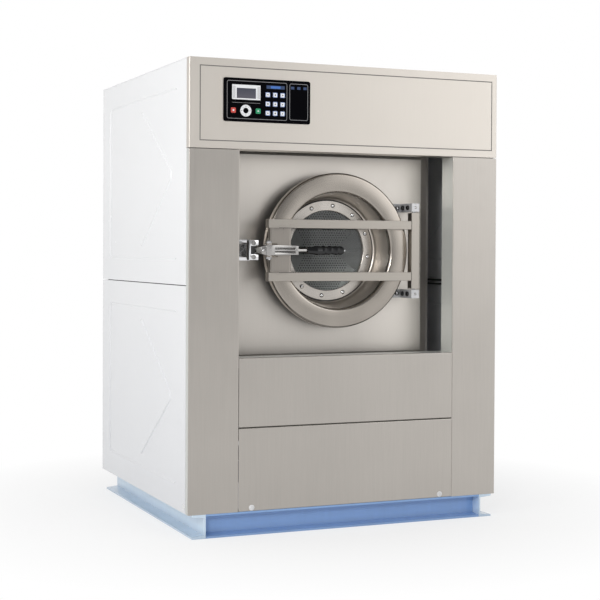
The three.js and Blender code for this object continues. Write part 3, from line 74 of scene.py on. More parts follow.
def addNode(tree, kind, settings, inputs, output=0):
    node = tree.nodes.new(kind)
    for key, value in settings.items():
        setattr(node, key, value)
    for key, value in inputs.items():
        if isinstance(value, Wire):
            tree.links.new(value.socket, node.inputs[key])
        else:
            node.inputs[key].default_value = value
    return Wire(tree, node.outputs[output])


class Wire:
    def __init__(self, tree, socket):
        self.tree = tree
        self.socket = socket

    def maths(self, operation, *values, clamp=False):
        settings = {"operation": operation, "use_clamp": clamp}
        return addNode(self.tree, "ShaderNodeMath", settings, dict(enumerate(values)))

    def __add__(self, other):
        return self.maths("ADD", self, other)

    def __radd__(self, other):
        return self.maths("ADD", other, self)

    def __sub__(self, other):
        return self.maths("SUBTRACT", self, other)

    def __rsub__(self, other):
        return self.maths("SUBTRACT", other, self)

    def __mul__(self, other):
        return self.maths("MULTIPLY", self, other)

    def __rmul__(self, other):
        return self.maths("MULTIPLY", other, self)

    def __truediv__(self, other):
        return self.maths("DIVIDE", self, other)

    def __mod__(self, other):
        return self.maths("FLOORED_MODULO", self, other)

    def rise(self, low, high):  # 0 at low, 1 at high
        return self.maths("MULTIPLY_ADD", self, 1 / (high - low), -low / (high - low), clamp=True)

    def root(self):
        return self.maths("SQRT", self)

    def size(self):
        return self.maths("ABSOLUTE", self)

    def whole(self):
        return self.maths("FLOOR", self)

    def either(self, other):
        return self.maths("MAXIMUM", self, other)


def rayIs(tree, *kinds):  # 1 for a ray of any of these kinds
    tests = [addNode(tree, "ShaderNodeLightPath", {}, {}, "Is %s Ray" % kind) for kind in kinds]
    share = tests[0]
    for test in tests[1:]:
        share = share.either(test)
    return share


class Finish:
    def __init__(self, name, **fixed):
        self.material = bpy.data.materials.new(name)
        self.material.use_nodes = True
        self.tree = self.material.node_tree
        self.surface = self.tree.nodes["Principled BSDF"]
        for key, value in fixed.items():
            self.surface.inputs[key.replace("_", " ")].default_value = value
        self.place = self.add("ShaderNodeTexCoord", {}, {}, "Object")
        self.x, self.y, self.z = (self.add("ShaderNodeSeparateXYZ", {}, {0: self.place}, i)
                                  for i in range(3))

    def add(self, kind, settings, inputs, output=0):
        return addNode(self.tree, kind, settings, inputs, output)

    def feed(self, key, value):
        self.tree.links.new(value.socket, self.surface.inputs[key])

    def noise(self, scale, detail=3.0, stretch=None, at=None, rough=0.5):
        vector = at or self.place
        if stretch:
            vector = self.add("ShaderNodeMapping", {}, {"Vector": vector, "Scale": stretch})
        inputs = {"Vector": vector, "Scale": scale, "Detail": detail, "Roughness": rough}
        return self.add("ShaderNodeTexNoise", {}, inputs, "Fac")

    def cells(self, scale):
        return self.add("ShaderNodeTexVoronoi", {}, {"Vector": self.place, "Scale": scale}, "Distance")

    def point(self, x, y, z):
        return self.add("ShaderNodeCombineXYZ", {}, {0: x, 1: y, 2: z})

    def tint(self, share, first, second):
        ends = [c if isinstance(c, Wire) else (*c, 1) for c in (first, second)]
        return self.add("ShaderNodeMix", {"data_type": "RGBA"}, {0: share, 6: ends[0], 7: ends[1]}, 2)

    def bump(self, height, distance):
        self.feed("Normal", self.add("ShaderNodeBump", {}, {"Height": height, "Distance": distance}))

    def shade(self, share, other):  # shows the other shader instead of the surface's own
        own = Wire(self.tree, self.surface.outputs[0])
        both = self.add("ShaderNodeMixShader", {}, {0: share, 1: own, 2: other})
        self.tree.links.new(both.socket, self.tree.nodes["Material Output"].inputs["Surface"])


def scaled(vector, share):
    return tuple(v * share for v in vector)


def times(colour, share):
    return tuple(min(1.0, c) for c in scaled(colour, share))


# Painted shade in the header's groove, which runs this far inside the edges of the panel
groove = {"left": 36, "right": 20, "bottom": 24, "top": 25, "width": 3, "blur": 0.4, "paintedShade": 0.8}


def headerGrooveShade(finish):
    low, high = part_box("header_panel")
    left, right = low.x + groove["left"] / 1000, high.x - groove["right"] / 1000
    bottom, top = low.z + groove["bottom"] / 1000, high.z - groove["top"] / 1000
    width, blur = groove["width"] / 1000, groove["blur"] / 1000
    across = (finish.x - (left + right) / 2).size()
    upward = (finish.z - (bottom + top) / 2).size()
    off = (across - (right - left) / 2).either(upward - (top - bottom) / 2)
    return off.rise(-width - blur, -width) * (1 - off.rise(0.0, blur)) * groove["paintedShade"]


# The returns behind the front panels, painted paler and duller than the brushed front as painted light
returns = {"start": 2.6, "full": 3.6}


def foldedReturns(finish):
    return finish.y.rise(*(onCabinet(0, returns[k], 0).y for k in ("start", "full")))


# Painted light on the tub's front plate: it is brighter towards its top and its hinge side
plateLight = {"low": 130, "high": 300, "atTop": 0.55, "left": 100, "right": 360, "atRight": 0.9}


def plateLightShare(finish):
    up = finish.z.rise(*(onTub(0, 0, plateLight[k]).z for k in ("low", "high"))) * plateLight["atTop"]
    across = finish.x.rise(plateLight["left"] / 1000, plateLight["right"] / 1000)
    return up.either(across * plateLight["atRight"])


# Brushed stainless sheet: the grain is long in one direction, with faint clouds and hand marks. What is
# apart from it has its own region, colour and loss of metal.
# What is apart is painted shade on the header and painted light on the front's returns and the tub plate
def brushedSheet(name, colour, grain, roughness, contrast=0.06, metal=1.0, apart=None):
    finish = Finish(name, Metallic=metal)
    lines = finish.noise(1.0, 4, stretch=grain, rough=0.6)
    hair = finish.noise(1.0, 2, stretch=scaled(grain, 2.7), rough=0.7)
    cloud = finish.noise(2.6, 4)
    hand = finish.noise(9, 5, rough=0.65).rise(0.55, 0.8)
    tone = lines * 0.45 + hair * 0.25 + cloud * 0.5
    ends = times(colour, 1 - contrast), times(colour, 1 + contrast)
    sheet = finish.tint(tone.rise(0.42, 0.8), *ends)
    if apart:
        region, itsColour, dull = apart
        share = region(finish)
        sheet = finish.tint(share, sheet, itsColour)
        finish.feed("Metallic", metal - share * dull)
    finish.feed("Base Color", sheet)
    finish.feed("Roughness", lines * 0.1 + cloud * 0.1 + hand * 0.05 + (roughness - 0.1))
    finish.bump(lines + hair * 0.6, 0.000012)
    return finish.material


# Spun steel: the grain runs round the drum's axis. The dish behind the ring's face is painted paler, as
# painted light, and is duller.
dish = {"start": 98, "full": 112, "paintedLight": 1.75, "dull": 0.2, "rough": 0.08}


def spunSteel(name, colour, roughness, dished=0.0):
    finish = Finish(name)
    high = finish.z - drumAxis / 1000
    radius = (finish.x * finish.x + high * high).root()
    angle = finish.x.maths("ARCTAN2", high, finish.x)
    rings = finish.noise(1.0, 4, at=finish.point(radius * 700, finish.y * 600, 0.0), rough=0.6)
    sweep = finish.noise(1.0, 2, at=finish.point(angle * 1.9, radius * 5, finish.y * 4))
    marks = finish.noise(15, 5, rough=0.65).rise(0.56, 0.8)
    tone = (rings * 0.4 + sweep * 0.7).rise(0.4, 0.75)
    deep = finish.y.rise(*(onTub(0, dish[k], 0).y for k in ("start", "full"))) * dished
    steel = finish.tint(tone, times(colour, 0.9), times(colour, 1.1))
    # The dish is painted paler than the face, as painted light
    finish.feed("Base Color", finish.tint(deep, steel, times(colour, dish["paintedLight"])))
    finish.feed("Metallic", 1 - deep * dish["dull"])
    finish.feed("Roughness", rings * 0.12 + marks * 0.07 + deep * dish["rough"] + (roughness - 0.07))
    finish.bump(rings, 0.00001)
    return finish.material


# Sprayed enamel: slight orange peel and faint dust, and another colour lower down, which on the panels
# is a duller one, painted shade
def enamel(name, colour, lowerColour, roughness, peel, coat=0.35):
    finish = Finish(name, Coat_Weight=coat, Coat_Roughness=0.12, Specular_IOR_Level=0.25 + coat * 0.7)
    skin = finish.noise(320, 2, rough=0.4)
    wave = finish.noise(26, 3)
    dust = finish.noise(4, 5, rough=0.6).rise(0.45, 0.8)
    low = 1 - finish.z.rise(0.1, 1.2)
    finish.feed("Base Color", finish.tint(dust * 0.12 + low * 0.95 + wave * 0.08, colour, lowerColour))
    finish.feed("Roughness", dust * 0.12 + wave * 0.05 + (roughness - 0.04))
    finish.bump(skin + wave * 0.5, peel)
    return finish.material


# Paint on the rolled channels: cloudy, with runs, small rubbed spots and grime near the floor
def channelPaint(name, colour):
    finish = Finish(name, Coat_Weight=0.7, Coat_Roughness=0.12)
    skin = finish.noise(130, 3)
    cloud = finish.noise(8, 5, rough=0.6)
    runs = finish.noise(1.0, 3, stretch=(46, 46, 7))
    rubbed = (1 - finish.cells(80).rise(0.0, 0.2)) * finish.noise(6, 4).rise(0.55, 0.7)
    grime = (1 - finish.z.rise(0.0, 0.03)) * cloud * 0.8
    paint = finish.tint(cloud * 0.5 + runs * 0.4, times(colour, 0.85), times(colour, 1.12))
    paint = finish.tint(grime, paint, (0.16, 0.22, 0.34))
    finish.feed("Base Color", finish.tint(rubbed * 0.8, paint, (0.36, 0.47, 0.66)))
    finish.feed("Roughness", cloud * 0.2 + rubbed * 0.2 + 0.3)
    finish.bump(skin * 0.7 + runs * 0.5 + cloud, 0.0002)
    return finish.material


# Plated or polished metal with thin smears and fine scratches
def polished(name, colour, roughness, metal=1.0):
    finish = Finish(name, Metallic=metal)
    smear = finish.noise(55, 5, rough=0.6)
    scratch = finish.noise(1.0, 3, stretch=(900, 120, 140), rough=0.7)
    finish.feed("Base Color", finish.tint(smear.rise(0.35, 0.7), times(colour, 0.88), colour))
    finish.feed("Roughness", smear.rise(0.45, 0.8) * 0.12 + scratch * 0.05 + (roughness - 0.03))
    finish.bump(scratch, 0.000006)
    return finish.material


def rubber(name, colour):
    finish = Finish(name, IOR=1.5)
    grain = finish.noise(420, 3)
    bloom = finish.noise(22, 5, rough=0.6).rise(0.45, 0.75)
    finish.feed("Base Color", finish.tint(bloom * 0.5, colour, (0.05, 0.05, 0.052)))
    finish.feed("Roughness", bloom * 0.18 + grain * 0.1 + 0.45)
    finish.bump(grain, 0.00006)
    return finish.material


def moulded(name, colour, roughness, texture, shine=0.5):
    finish = Finish(name, IOR=1.48, Specular_IOR_Level=shine)
    grain = finish.noise(900, 2)
    wear = finish.noise(30, 4).rise(0.5, 0.8)
    finish.feed("Base Color", finish.tint(wear * 0.4 + grain * 0.2, colour, times(colour, 0.8)))
    finish.feed("Roughness", wear * 0.1 + grain * 0.08 + (roughness - 0.06))
    finish.bump(grain, texture)
    return finish.material


def castMetal(name, colour):
    finish = Finish(name, Metallic=0.3)
    sand = finish.noise(180, 5, rough=0.7)
    cloud = finish.noise(12, 4)
    tone = cloud * 0.6 + sand * 0.4
    finish.feed("Base Color", finish.tint(tone, times(colour, 0.75), times(colour, 1.2)))
    finish.feed("Roughness", sand * 0.3 + 0.42)
    finish.bump(sand + cloud * 0.4, 0.0003)
    return finish.material


# Drum sheet: staggered round holes in the wall and in the rear, none near the rims and the hub. The
# sheet has painted shade and light: it is darkened all over, and painted bright low down, less so
# towards the right. Lengths are in metres here.
holes = {"pitch": 0.0105, "rows": 0.0091, "small": 0.22, "large": 0.3, "wall": 0.335, "front": 0.03,
         "rim": 0.300, "hub": 0.11, "edge": 0.001, "colour": (0.012, 0.012, 0.012)}
sheetZones = {"rearStart": 0.0045, "rearFull": 0.0035, "wallStart": 0.326, "wallFull": 0.331}
drumShadeAndLight = {"low": -0.075, "high": -0.02, "left": 0.27, "right": 0.36, "bright": (1.0, 1.0, 0.98),
          "dark": (0.13, 0.13, 0.13), "darkShare": 0.75, "rightLoss": 0.6}


def punched(finish, across, along):
    row = along / holes["rows"]
    shift = (row.whole() % 2.0) * 0.5
    u = (across / holes["pitch"] + shift) % 1.0 - 0.5
    v = row % 1.0 - 0.5
    return 1 - (u * u + v * v).root().rise(holes["small"], holes["large"])


def drumSheet(name, colour):
    finish = Finish(name)
    drumFront, drumRear = (corner.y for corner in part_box("inner_drum"))
    h, zone = holes, sheetZones
    high = finish.z - drumAxis / 1000
    radius = (finish.x * finish.x + high * high).root()
    angle = finish.x.maths("ARCTAN2", high, finish.x)
    onRear = finish.y.rise(drumRear - zone["rearStart"], drumRear - zone["rearFull"])
    onWall = radius.rise(zone["wallStart"], zone["wallFull"])
    wallHoles = punched(finish, angle * h["wall"], finish.y) * onWall
    wallHoles = wallHoles * finish.y.rise(drumFront + h["front"], drumFront + h["front"] + h["edge"])
    insideRim = 1 - radius.rise(h["rim"], h["rim"] + h["edge"])
    outsideHub = radius.rise(h["hub"], h["hub"] + h["edge"])
    rearHoles = punched(finish, finish.x, high) * insideRim * outsideHub
    hole = onRear * rearHoles + (1 - onRear) * wallHoles
    sheen = finish.noise(1.0, 3, at=finish.point(angle * 3, finish.y * 130, radius * 40))
    metal = finish.tint(sheen.rise(0.3, 0.7), times(colour, 0.82), times(colour, 1.15))
    # Painted shade all over the drum, and painted light low down
    bright = 1 - finish.x.rise(drumShadeAndLight["left"], drumShadeAndLight["right"]) * drumShadeAndLight["rightLoss"]
    bright = (1 - high.rise(drumShadeAndLight["low"], drumShadeAndLight["high"])) * bright
    metal = finish.tint(drumShadeAndLight["darkShare"], metal, drumShadeAndLight["dark"])
    metal = finish.tint(bright, metal, drumShadeAndLight["bright"])
    finish.feed("Base Color", finish.tint(hole, metal, h["colour"]))
    finish.feed("Roughness", sheen * 0.14 + hole * 0.4 + 0.28)
    finish.feed("Metallic", (1 - hole) * 0.2)
    finish.bump(1 - hole, 0.0012)
    return finish.material


# Toughened glass. Light passes it straight, so that the drum behind it isn't dark.
def clearGlass(name):
    finish = Finish(name, IOR=1.45, Transmission_Weight=1.0)
    film = finish.noise(7, 5, rough=0.6)
    finish.feed("Base Color", finish.tint(film, (0.90, 0.955, 0.935), (0.96, 0.985, 0.975)))
    finish.feed("Roughness", film.rise(0.5, 0.8) * 0.02)
    clear = finish.add("ShaderNodeBsdfTransparent", {}, {})
    finish.shade(rayIs(finish.tree, "Shadow", "Diffuse"), clear)
    return finish.material


uprightGrain, barGrain, shellGrain = (380, 380, 7), (7, 700, 700), (60, 300, 60)
finishes = {
    # The header's groove is painted dark grey, as its shade
    "header": brushedSheet("header_sheet", (0.622, 0.582, 0.533), uprightGrain, 0.38, contrast=0.02,
                           metal=0.85, apart=(headerGrooveShade, (0.10, 0.10, 0.10), 0.7)),
    # The front's returns are painted paler, as the light that falls on them
    "front": brushedSheet("front_sheet", (0.445, 0.418, 0.387), uprightGrain, 0.34,
                          apart=(foldedReturns, (0.60, 0.61, 0.58), 0.7)),
    # The tub plate's top and hinge side are painted pale, as painted light
    "tubPlate": brushedSheet("tub_plate_sheet", (0.52, 0.49, 0.455), uprightGrain, 0.38, contrast=0.04,
                             apart=(plateLightShare, (0.80, 0.755, 0.70), 0.1)),
    "yoke": brushedSheet("yoke_tube", (0.39, 0.362, 0.326), barGrain, 0.3, contrast=0.05),
    "post": brushedSheet("yoke_post_tube", (0.39, 0.362, 0.326), uprightGrain, 0.3, contrast=0.05),
    "latchPlate": brushedSheet("latch_plate_sheet", (0.30, 0.276, 0.25), uprightGrain, 0.3,
                               contrast=0.08),
    "tub": brushedSheet("tub_shell", (0.5, 0.49, 0.47), shellGrain, 0.3),
    "ring": spunSteel("door_ring_steel", (0.35, 0.32, 0.286), 0.23, dished=1.0),
    "clamp": spunSteel("clamp_ring_steel", (0.48, 0.45, 0.415), 0.24),
    "drum": drumSheet("drum_sheet", (0.80, 0.79, 0.77)),
    "glass": clearGlass("door_glass"),
    "side": enamel("side_enamel", (0.93, 0.935, 0.945), (0.74, 0.75, 0.775), 0.2, peel=0.000006),
    "cover": enamel("cover_enamel", (0.84, 0.845, 0.855), (0.72, 0.73, 0.75), 0.5, peel=0.00001,
                    coat=0.0),
    "motor": enamel("motor_paint", (0.10, 0.16, 0.24), (0.07, 0.09, 0.12), 0.4, peel=0.0001),
    "spring": enamel("spring_coating", (0.03, 0.032, 0.036), (0.06, 0.06, 0.06), 0.4, peel=0.00005),
    "base": channelPaint("channel_paint", (0.26, 0.44, 0.77)),
    # The side rails take a paler copy of the channel paint, as painted light on their sides
    "rail": channelPaint("lit_rail_paint", (0.67, 0.81, 0.99)),
    "cast": castMetal("cast_metal", (0.10, 0.105, 0.11)),
    "chrome": polished("chrome_plate", (0.78, 0.78, 0.79), 0.1),
    "hinge": polished("hinge_plate", (0.60, 0.60, 0.61), 0.2, metal=0.45),
    "satin": polished("satin_steel", (0.42, 0.41, 0.40), 0.2),
    "seam": polished("weld_seam", (0.10, 0.095, 0.09), 0.45),
    "rubber": rubber("black_rubber", (0.018, 0.018, 0.019)),
    "grip": moulded("grip_plastic", (0.004, 0.004, 0.005), 0.1, texture=0.00001),
    "panel": moulded("panel_film", (0.002, 0.002, 0.003), 0.4, texture=0.000002, shine=0.02),
    "pipe": moulded("pipe_plastic", (0.55, 0.57, 0.60), 0.4, texture=0.00005),
    "cap": moulded("cap_plastic", (0.80, 0.80, 0.80), 0.4, texture=0.00001),
    "white": moulded("key_white", (0.88, 0.89, 0.91), 0.4, texture=0.000004),
    "red": moulded("key_red", (0.60, 0.07, 0.055), 0.4, texture=0.000004),
    "green": moulded("key_green", (0.02, 0.32, 0.14), 0.4, texture=0.000004),
    "greyInk": moulded("grey_ink", (0.34, 0.34, 0.35), 0.4, texture=0.000001, shine=0.2),
    "whiteInk": moulded("white_ink", (0.78, 0.79, 0.80), 0.4, texture=0.000001),
    "blueInk": moulded("blue_ink", (0.08, 0.20, 0.58), 0.35, texture=0.000001, shine=0.2),
    "darkInk": moulded("dark_ink", (0.03, 0.03, 0.035), 0.35, texture=0.000001),
    "slateInk": moulded("slate_ink", (0.05, 0.08, 0.17), 0.35, texture=0.000001, shine=0.2),
}

wearers = {
    "header": ["header_panel"],
    "front": ["pilaster_left", "pilaster_right", "front_panel_middle", "front_panel_bottom"],
    "tubPlate": ["tub_front_plate"],
    "latchPlate": ["latch_plate"],
    "yoke": ["yoke_bar_upper", "yoke_bar_lower"],
    "post": ["yoke_post"],
    "side": ["side_panel_left_upper", "side_panel_left_lower", "side_panel_right_upper",
             "side_panel_right_lower"],
    "cover": ["rear_panel", "top_panel"],
    "base": ["base_cross_front", "base_cross_rear"],
    "rail": ["base_rail_left", "base_rail_right"],
    "hinge": ["hinge_bracket_upper", "hinge_bracket_lower"],
    "chrome": ["catch_bracket", "latch_pin"],
    "satin": ["latch_lever", "latch_hook"],
    "rubber": ["door_gasket", "drive_belt", "catch_roller"],
    "grip": ["handle_grip"],
    "panel": ["control_panel"],
    "white": ["cursor_pad"] + ["program_key_%d" % i for i in range(1, 10)],
    "red": ["stop_key"],
    "green": ["start_key"],
    "pipe": ["drain_valve"],
    "cast": ["bearing_housing", "tub_cradle_front", "tub_cradle_rear", "drum_shaft", "drum_pulley",
             "motor_pulley"],
    "motor": ["drive_motor"],
    "drum": ["inner_drum"],
    "tub": ["outer_tub"],
}
for key, names in wearers.items():
    for name in names:
        nodes[name].data.materials.clear()
        nodes[name].data.materials.append(finishes[key])
print("materials made")


# Camera where the photograph was taken from
view = {"yaw": 23.04, "pitch": 0.94, "roll": -0.28, "lens": 83.64, "sensor": 36, "shift": -0.045,
        "place": (-2022.6, -4323.2, 870.7)}
bpy.ops.object.select_all(action="DESELECT")
bpy.ops.object.camera_add()
camera = bpy.context.object
camera.data.lens = view["lens"]
camera.data.sensor_width = view["sensor"]
camera.data.shift_y = view["shift"]
bpy.context.scene.camera = camera
yaw, pitch, roll = (math.radians(view[k]) for k in ("yaw", "pitch", "roll"))
turned = (Matrix.Rotation(-yaw, 4, "Z") @ Matrix.Rotation(math.pi / 2 - pitch, 4, "X")
          @ Matrix.Rotation(-roll, 4, "Z"))
camera.matrix_world = Matrix.Translation(onCabinet(*view["place"])) @ turned


# Modelling helpers. A new piece starts as a primitive, or as the mesh of a node that it replaces, and is
# shaped in edit mode.

def chosen(test):  # selects the vertices, edges or faces of the mesh in edit mode that pass
    mesh = bmesh.from_edit_mesh(bpy.context.object.data)
    kind = bpy.context.tool_settings.mesh_select_mode
    items = mesh.verts if kind[0] else mesh.edges if kind[1] else mesh.faces
    bpy.ops.mesh.select_all(action="DESELECT")
    for item in items:
        item.select_set(test(item))
    mesh.select_flush_mode()
    bmesh.update_edit_mesh(bpy.context.object.data)


def edit(kind="VERT"):
    bpy.ops.object.mode_set(mode="EDIT")
    bpy.ops.mesh.select_mode(type=kind)
    bpy.ops.mesh.select_all(action="SELECT")


# Points nearer to each other than this (in metres) become one. Edges from these angles (in degrees)
# stay sharp.
merging = {"piece": 0.000002, "node": 0.00001}
sharpFrom, crispFrom = 35, 30


def settle(name, body, finish, angle=sharpFrom):
    edit()
    bpy.ops.mesh.remove_doubles(threshold=merging["piece"])
    bpy.ops.mesh.normals_make_consistent(inside=False)
    bpy.ops.object.mode_set(mode="OBJECT")
    piece = bpy.context.object
    piece.name = piece.data.name = name
    bpy.ops.object.transform_apply(location=True, rotation=True, scale=True)
    bpy.ops.object.shade_smooth_by_angle(angle=math.radians(angle))
    piece.data.materials.append(finishes[finish])
    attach(piece, body)
    return piece


# Spins a profile of (radius, height) about an axis. It starts as a small circle merged into one point.
def spun(centre, axis, profile, steps):
    axis = Vector(axis)
    spoke = Vector((axis.y, axis.z, axis.x))
    places = [centre + (spoke * r + axis * h) / 1000 for r, h in profile]
    bpy.ops.object.select_all(action="DESELECT")
    bpy.ops.mesh.primitive_circle_add(vertices=3, radius=0.0001, location=places[0])
    edit()
    bpy.ops.mesh.merge(type="CENTER")
    for here, there in zip(places, places[1:]):
        bpy.ops.mesh.extrude_region_move(TRANSFORM_OT_translate={"value": there - here})
    bpy.ops.mesh.select_all(action="SELECT")
    bpy.ops.mesh.spin(steps=steps, angle=2 * math.pi, center=centre, axis=axis, use_auto_merge=True)


# An edge runs in depth if its ends lie this far apart in depth (in metres), and a face looks to the
# front or the back if its normal has this share there.
facing = {"edge": 0.00001, "face": 0.9}


# A flat plate on the front, with rounded corners
def plate(x0, x1, z0, z1, depths, corner, segments=3):
    middle = onCabinet((x0 + x1) / 2, sum(depths) / 2, (z0 + z1) / 2)
    bpy.ops.object.select_all(action="DESELECT")
    bpy.ops.mesh.primitive_cube_add(size=1, location=middle)
    bpy.context.object.scale = ((x1 - x0) / 1000, (depths[1] - depths[0]) / 1000, (z1 - z0) / 1000)
    bpy.ops.object.transform_apply(location=True, rotation=True, scale=True)
    edit("EDGE")
    chosen(lambda e: abs(e.verts[0].co.y - e.verts[1].co.y) > facing["edge"])
    bpy.ops.mesh.bevel(offset=corner / 1000, segments=segments, affect="EDGES")


# Makes a plate an open frame by an inset of its front and its back, joined by a bridge
def opened(width):
    bpy.ops.mesh.select_mode(type="FACE")
    chosen(lambda f: abs(f.normal.y) > facing["face"])
    bpy.ops.mesh.inset(thickness=width / 1000, use_individual=True)
    bpy.ops.mesh.bridge_edge_loops()


# A flat sign. One with more corners than a hexagon is a disc with a fine bevel.
disc = {"from": 7, "edgeAngle": 1.5, "bevel": 0.00003}


def sign(x, z, depths, corners, radius, turn=0.0):
    bpy.ops.object.select_all(action="DESELECT")
    bpy.ops.mesh.primitive_cylinder_add(vertices=corners, radius=radius / 1000,
                                        depth=(depths[1] - depths[0]) / 1000,
                                        location=onCabinet(x, sum(depths) / 2, z),
                                        rotation=(math.pi / 2, math.radians(turn), 0))
    if corners >= disc["from"]:
        edit("EDGE")
        chosen(lambda e: len(e.link_faces) == 2 and e.calc_face_angle() > disc["edgeAngle"])
        bpy.ops.mesh.bevel(offset=disc["bevel"], segments=1, affect="EDGES")


def turnedCopy(piece, name, centre, axis, angle):
    bpy.ops.object.select_all(action="DESELECT")
    piece.select_set(True)
    bpy.context.view_layer.objects.active = piece
    bpy.ops.object.duplicate(linked=False)
    twin = bpy.context.object
    twin.name = twin.data.name = name
    there, back = Matrix.Translation(centre), Matrix.Translation(-centre)
    twin.data.transform(there @ Matrix.Rotation(angle, 4, axis) @ back)
    return twin


# A new piece with the mesh of a node, left in edit mode with its facets joined
def skinOf(node, name):
    bpy.ops.object.select_all(action="DESELECT")
    piece = bpy.data.objects.new(name, nodes[node].data.copy())
    bpy.context.scene.collection.objects.link(piece)
    bpy.context.view_layer.objects.active = piece
    piece.select_set(True)
    piece.data.materials.clear()
    edit()
    bpy.ops.mesh.remove_doubles(threshold=merging["node"])
    return piece


# Replaces the inner corners of a line of (u, v) points with arcs
def eased(points, radii, steps=5):
    line = [points[0]]
    for i, radius in enumerate(radii, start=1):
        here, before, after = (Vector(points[k]) for k in (i, i - 1, i + 1))
        before, after = (before - here).normalized(), (after - here).normalized()
        opening = before.angle(after)
        centre = here + (before + after).normalized() * radius / math.sin(opening / 2)
        start = here + before * radius / math.tan(opening / 2) - centre
        way = 1 if before.x * after.y - before.y * after.x < 0 else -1
        for k in range(steps + 1):
            turn = Matrix.Rotation(way * (math.pi - opening) * k / steps, 2)
            line.append(tuple(centre + turn @ start))
    return line + [points[-1]]


# Door ring: a dished steel pressing whose sheet runs from the rim over the face into the bowl
ring = {"radius": 270, "face": 90, "rim": 30, "lip": 204, "lipBend": 10, "rimBend": 9, "sheet": 3,
        "bowl": 186, "bowlBend": 10, "bowlDepth": 192, "pocket": 151.5, "pocketBack": 205,
        "pocketBend": 0.2, "wallSlant": 0.82, "opening": 144, "steps": 144}
r = ring
outerFace = eased([(r["opening"], r["pocketBack"]), (r["pocket"], r["pocketBack"]),
                   (r["pocket"], r["bowlDepth"]), (r["bowl"], r["bowlDepth"]), (r["lip"], r["face"]),
                   (r["radius"], r["face"]), (r["radius"], r["face"] + r["rim"])],
                  [r["pocketBend"], r["pocketBend"], r["bowlBend"], r["lipBend"], r["rimBend"]])
t, slanted = r["sheet"], r["sheet"] * r["wallSlant"]
innerFace = eased([(r["radius"] - t, r["face"] + r["rim"]), (r["radius"] - t, r["face"] + t),
                   (r["lip"] + slanted, r["face"] + t), (r["bowl"] + slanted, r["bowlDepth"] + t),
                   (r["pocket"] + t, r["bowlDepth"] + t), (r["pocket"] + t, r["pocketBack"] + t),
                   (r["opening"], r["pocketBack"] + t)],
                  [r["rimBend"] - t, r["lipBend"] + t, r["bowlBend"] + t, r["pocketBend"],
                   r["pocketBend"]])
axisPoint = onTub(0, 0, 0)
spun(axisPoint, (0, 1, 0), outerFace + innerFace + outerFace[:1], r["steps"])
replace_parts(settle("door_ring_skin", "door", "ring", crispFrom), "door_ring")

# Clamp ring, its bolts, and the bead of the glass seal that shows round it
clamp = {"inner": 142, "outer": 177, "front": 188, "back": 191.7, "edge": 1.2, "steps": 128,
         "bolts": 12, "circle": 160, "first": 82.5}
c = clamp
clampSection = [(c["inner"], c["back"]), (c["inner"], c["front"] + c["edge"]),
                (c["inner"] + c["edge"], c["front"]), (c["outer"] - c["edge"], c["front"]),
                (c["outer"], c["front"] + c["edge"]), (c["outer"], c["back"]), (c["inner"], c["back"])]
spun(axisPoint, (0, 1, 0), clampSection, c["steps"])
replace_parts(settle("clamp_ring_skin", "door", "clamp", crispFrom), "glass_clamp_ring")

bolt = {"radius": 6.0, "height": 4.2, "socket": 2.4, "washer": 7.4, "steps": 20, "shadeRingSteps": 24}


def domeBolt(place, axis, radius, height, socket):
    profile = [(0, -0.4), (radius * 0.9, -0.4), (radius, 0.3), (radius * 0.9, height * 0.55),
               (radius * 0.62, height * 0.92), (socket, height), (socket * 0.96, height * 0.35),
               (0, height * 0.3)]
    spun(place, axis, profile, bolt["steps"])


firstTurn = math.radians(c["first"])
firstBolt = onTub(c["circle"] * math.cos(firstTurn), c["front"], c["circle"] * math.sin(firstTurn))
domeBolt(firstBolt, (0, -1, 0), bolt["radius"], bolt["height"], bolt["socket"])
clampBolt = settle("clamp_bolt_1", "door", "chrome", crispFrom)
# A black rubber ring under each bolt, as painted shade round its head
w = bolt["washer"]
shadeRingProfile = [(0, -0.4), (w, -0.4), (w, 0.3), (w - 0.6, 0.6), (0, 0.6)]
spun(firstBolt, (0, -1, 0), shadeRingProfile, bolt["shadeRingSteps"])
clampBoltShade = settle("clamp_washer_1", "door", "rubber", crispFrom)
for i in range(1, c["bolts"]):
    turn = 2 * math.pi * i / c["bolts"]
    for first, kind, slot in ((clampBolt, "bolt", "tub_steel"),
                              (clampBoltShade, "washer", "black_rubber")):
        twin = turnedCopy(first, "clamp_%s_%d" % (kind, i + 1), axisPoint, "Y", turn)
        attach(twin, "door")

bpy.ops.object.select_all(action="DESELECT")
bead = {"radius": 178.4, "depth": 189.2, "thick": 1.6, "steps": 120, "round": 10}
bpy.ops.mesh.primitive_torus_add(major_radius=bead["radius"] / 1000, minor_radius=bead["thick"] / 1000,
                                 major_segments=bead["steps"], minor_segments=bead["round"],
                                 location=onTub(0, bead["depth"], 0), rotation=(math.pi / 2, 0, 0))
settle("glass_seal_bead", "door", "rubber")

glass = {"radius": glassRadius, "front": 192.1, "back": 204.6, "edge": 1, "steps": 96}
g = glass
spun(axisPoint, (0, 1, 0), [(0, g["front"]), (g["radius"] - g["edge"], g["front"]),
                            (g["radius"], g["front"] + g["edge"]), (g["radius"], g["back"] - g["edge"]),
                            (g["radius"] - g["edge"], g["back"]), (0, g["back"])], g["steps"])
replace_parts(settle("glass_plate", "door", "glass", crispFrom), "door_glass")

gasket = {"inner": 210, "outer": 252, "front": 120.3, "back": 164.7, "foot": 230, "steps": 112,
          "bends": [1, 2, 3, 5, 5, 4, 3, 1], "bendSteps": 3}
g = gasket
lipLine = eased([(g["foot"], g["back"]), (g["inner"], g["back"]), (g["inner"], g["front"] + 2),
                 (g["inner"] + 12, g["front"]), (g["outer"] - 12, g["front"]),
                 (g["outer"], g["front"] + 8), (g["outer"] - 6, g["front"] + 22),
                 (g["outer"], g["back"] - 8), (g["outer"], g["back"]), (g["foot"], g["back"])],
                g["bends"], g["bendSteps"])
spun(axisPoint, (0, 1, 0), lipLine, g["steps"])
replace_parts(settle("door_gasket_skin", "tub", "rubber"), "door_gasket")
print("door made")


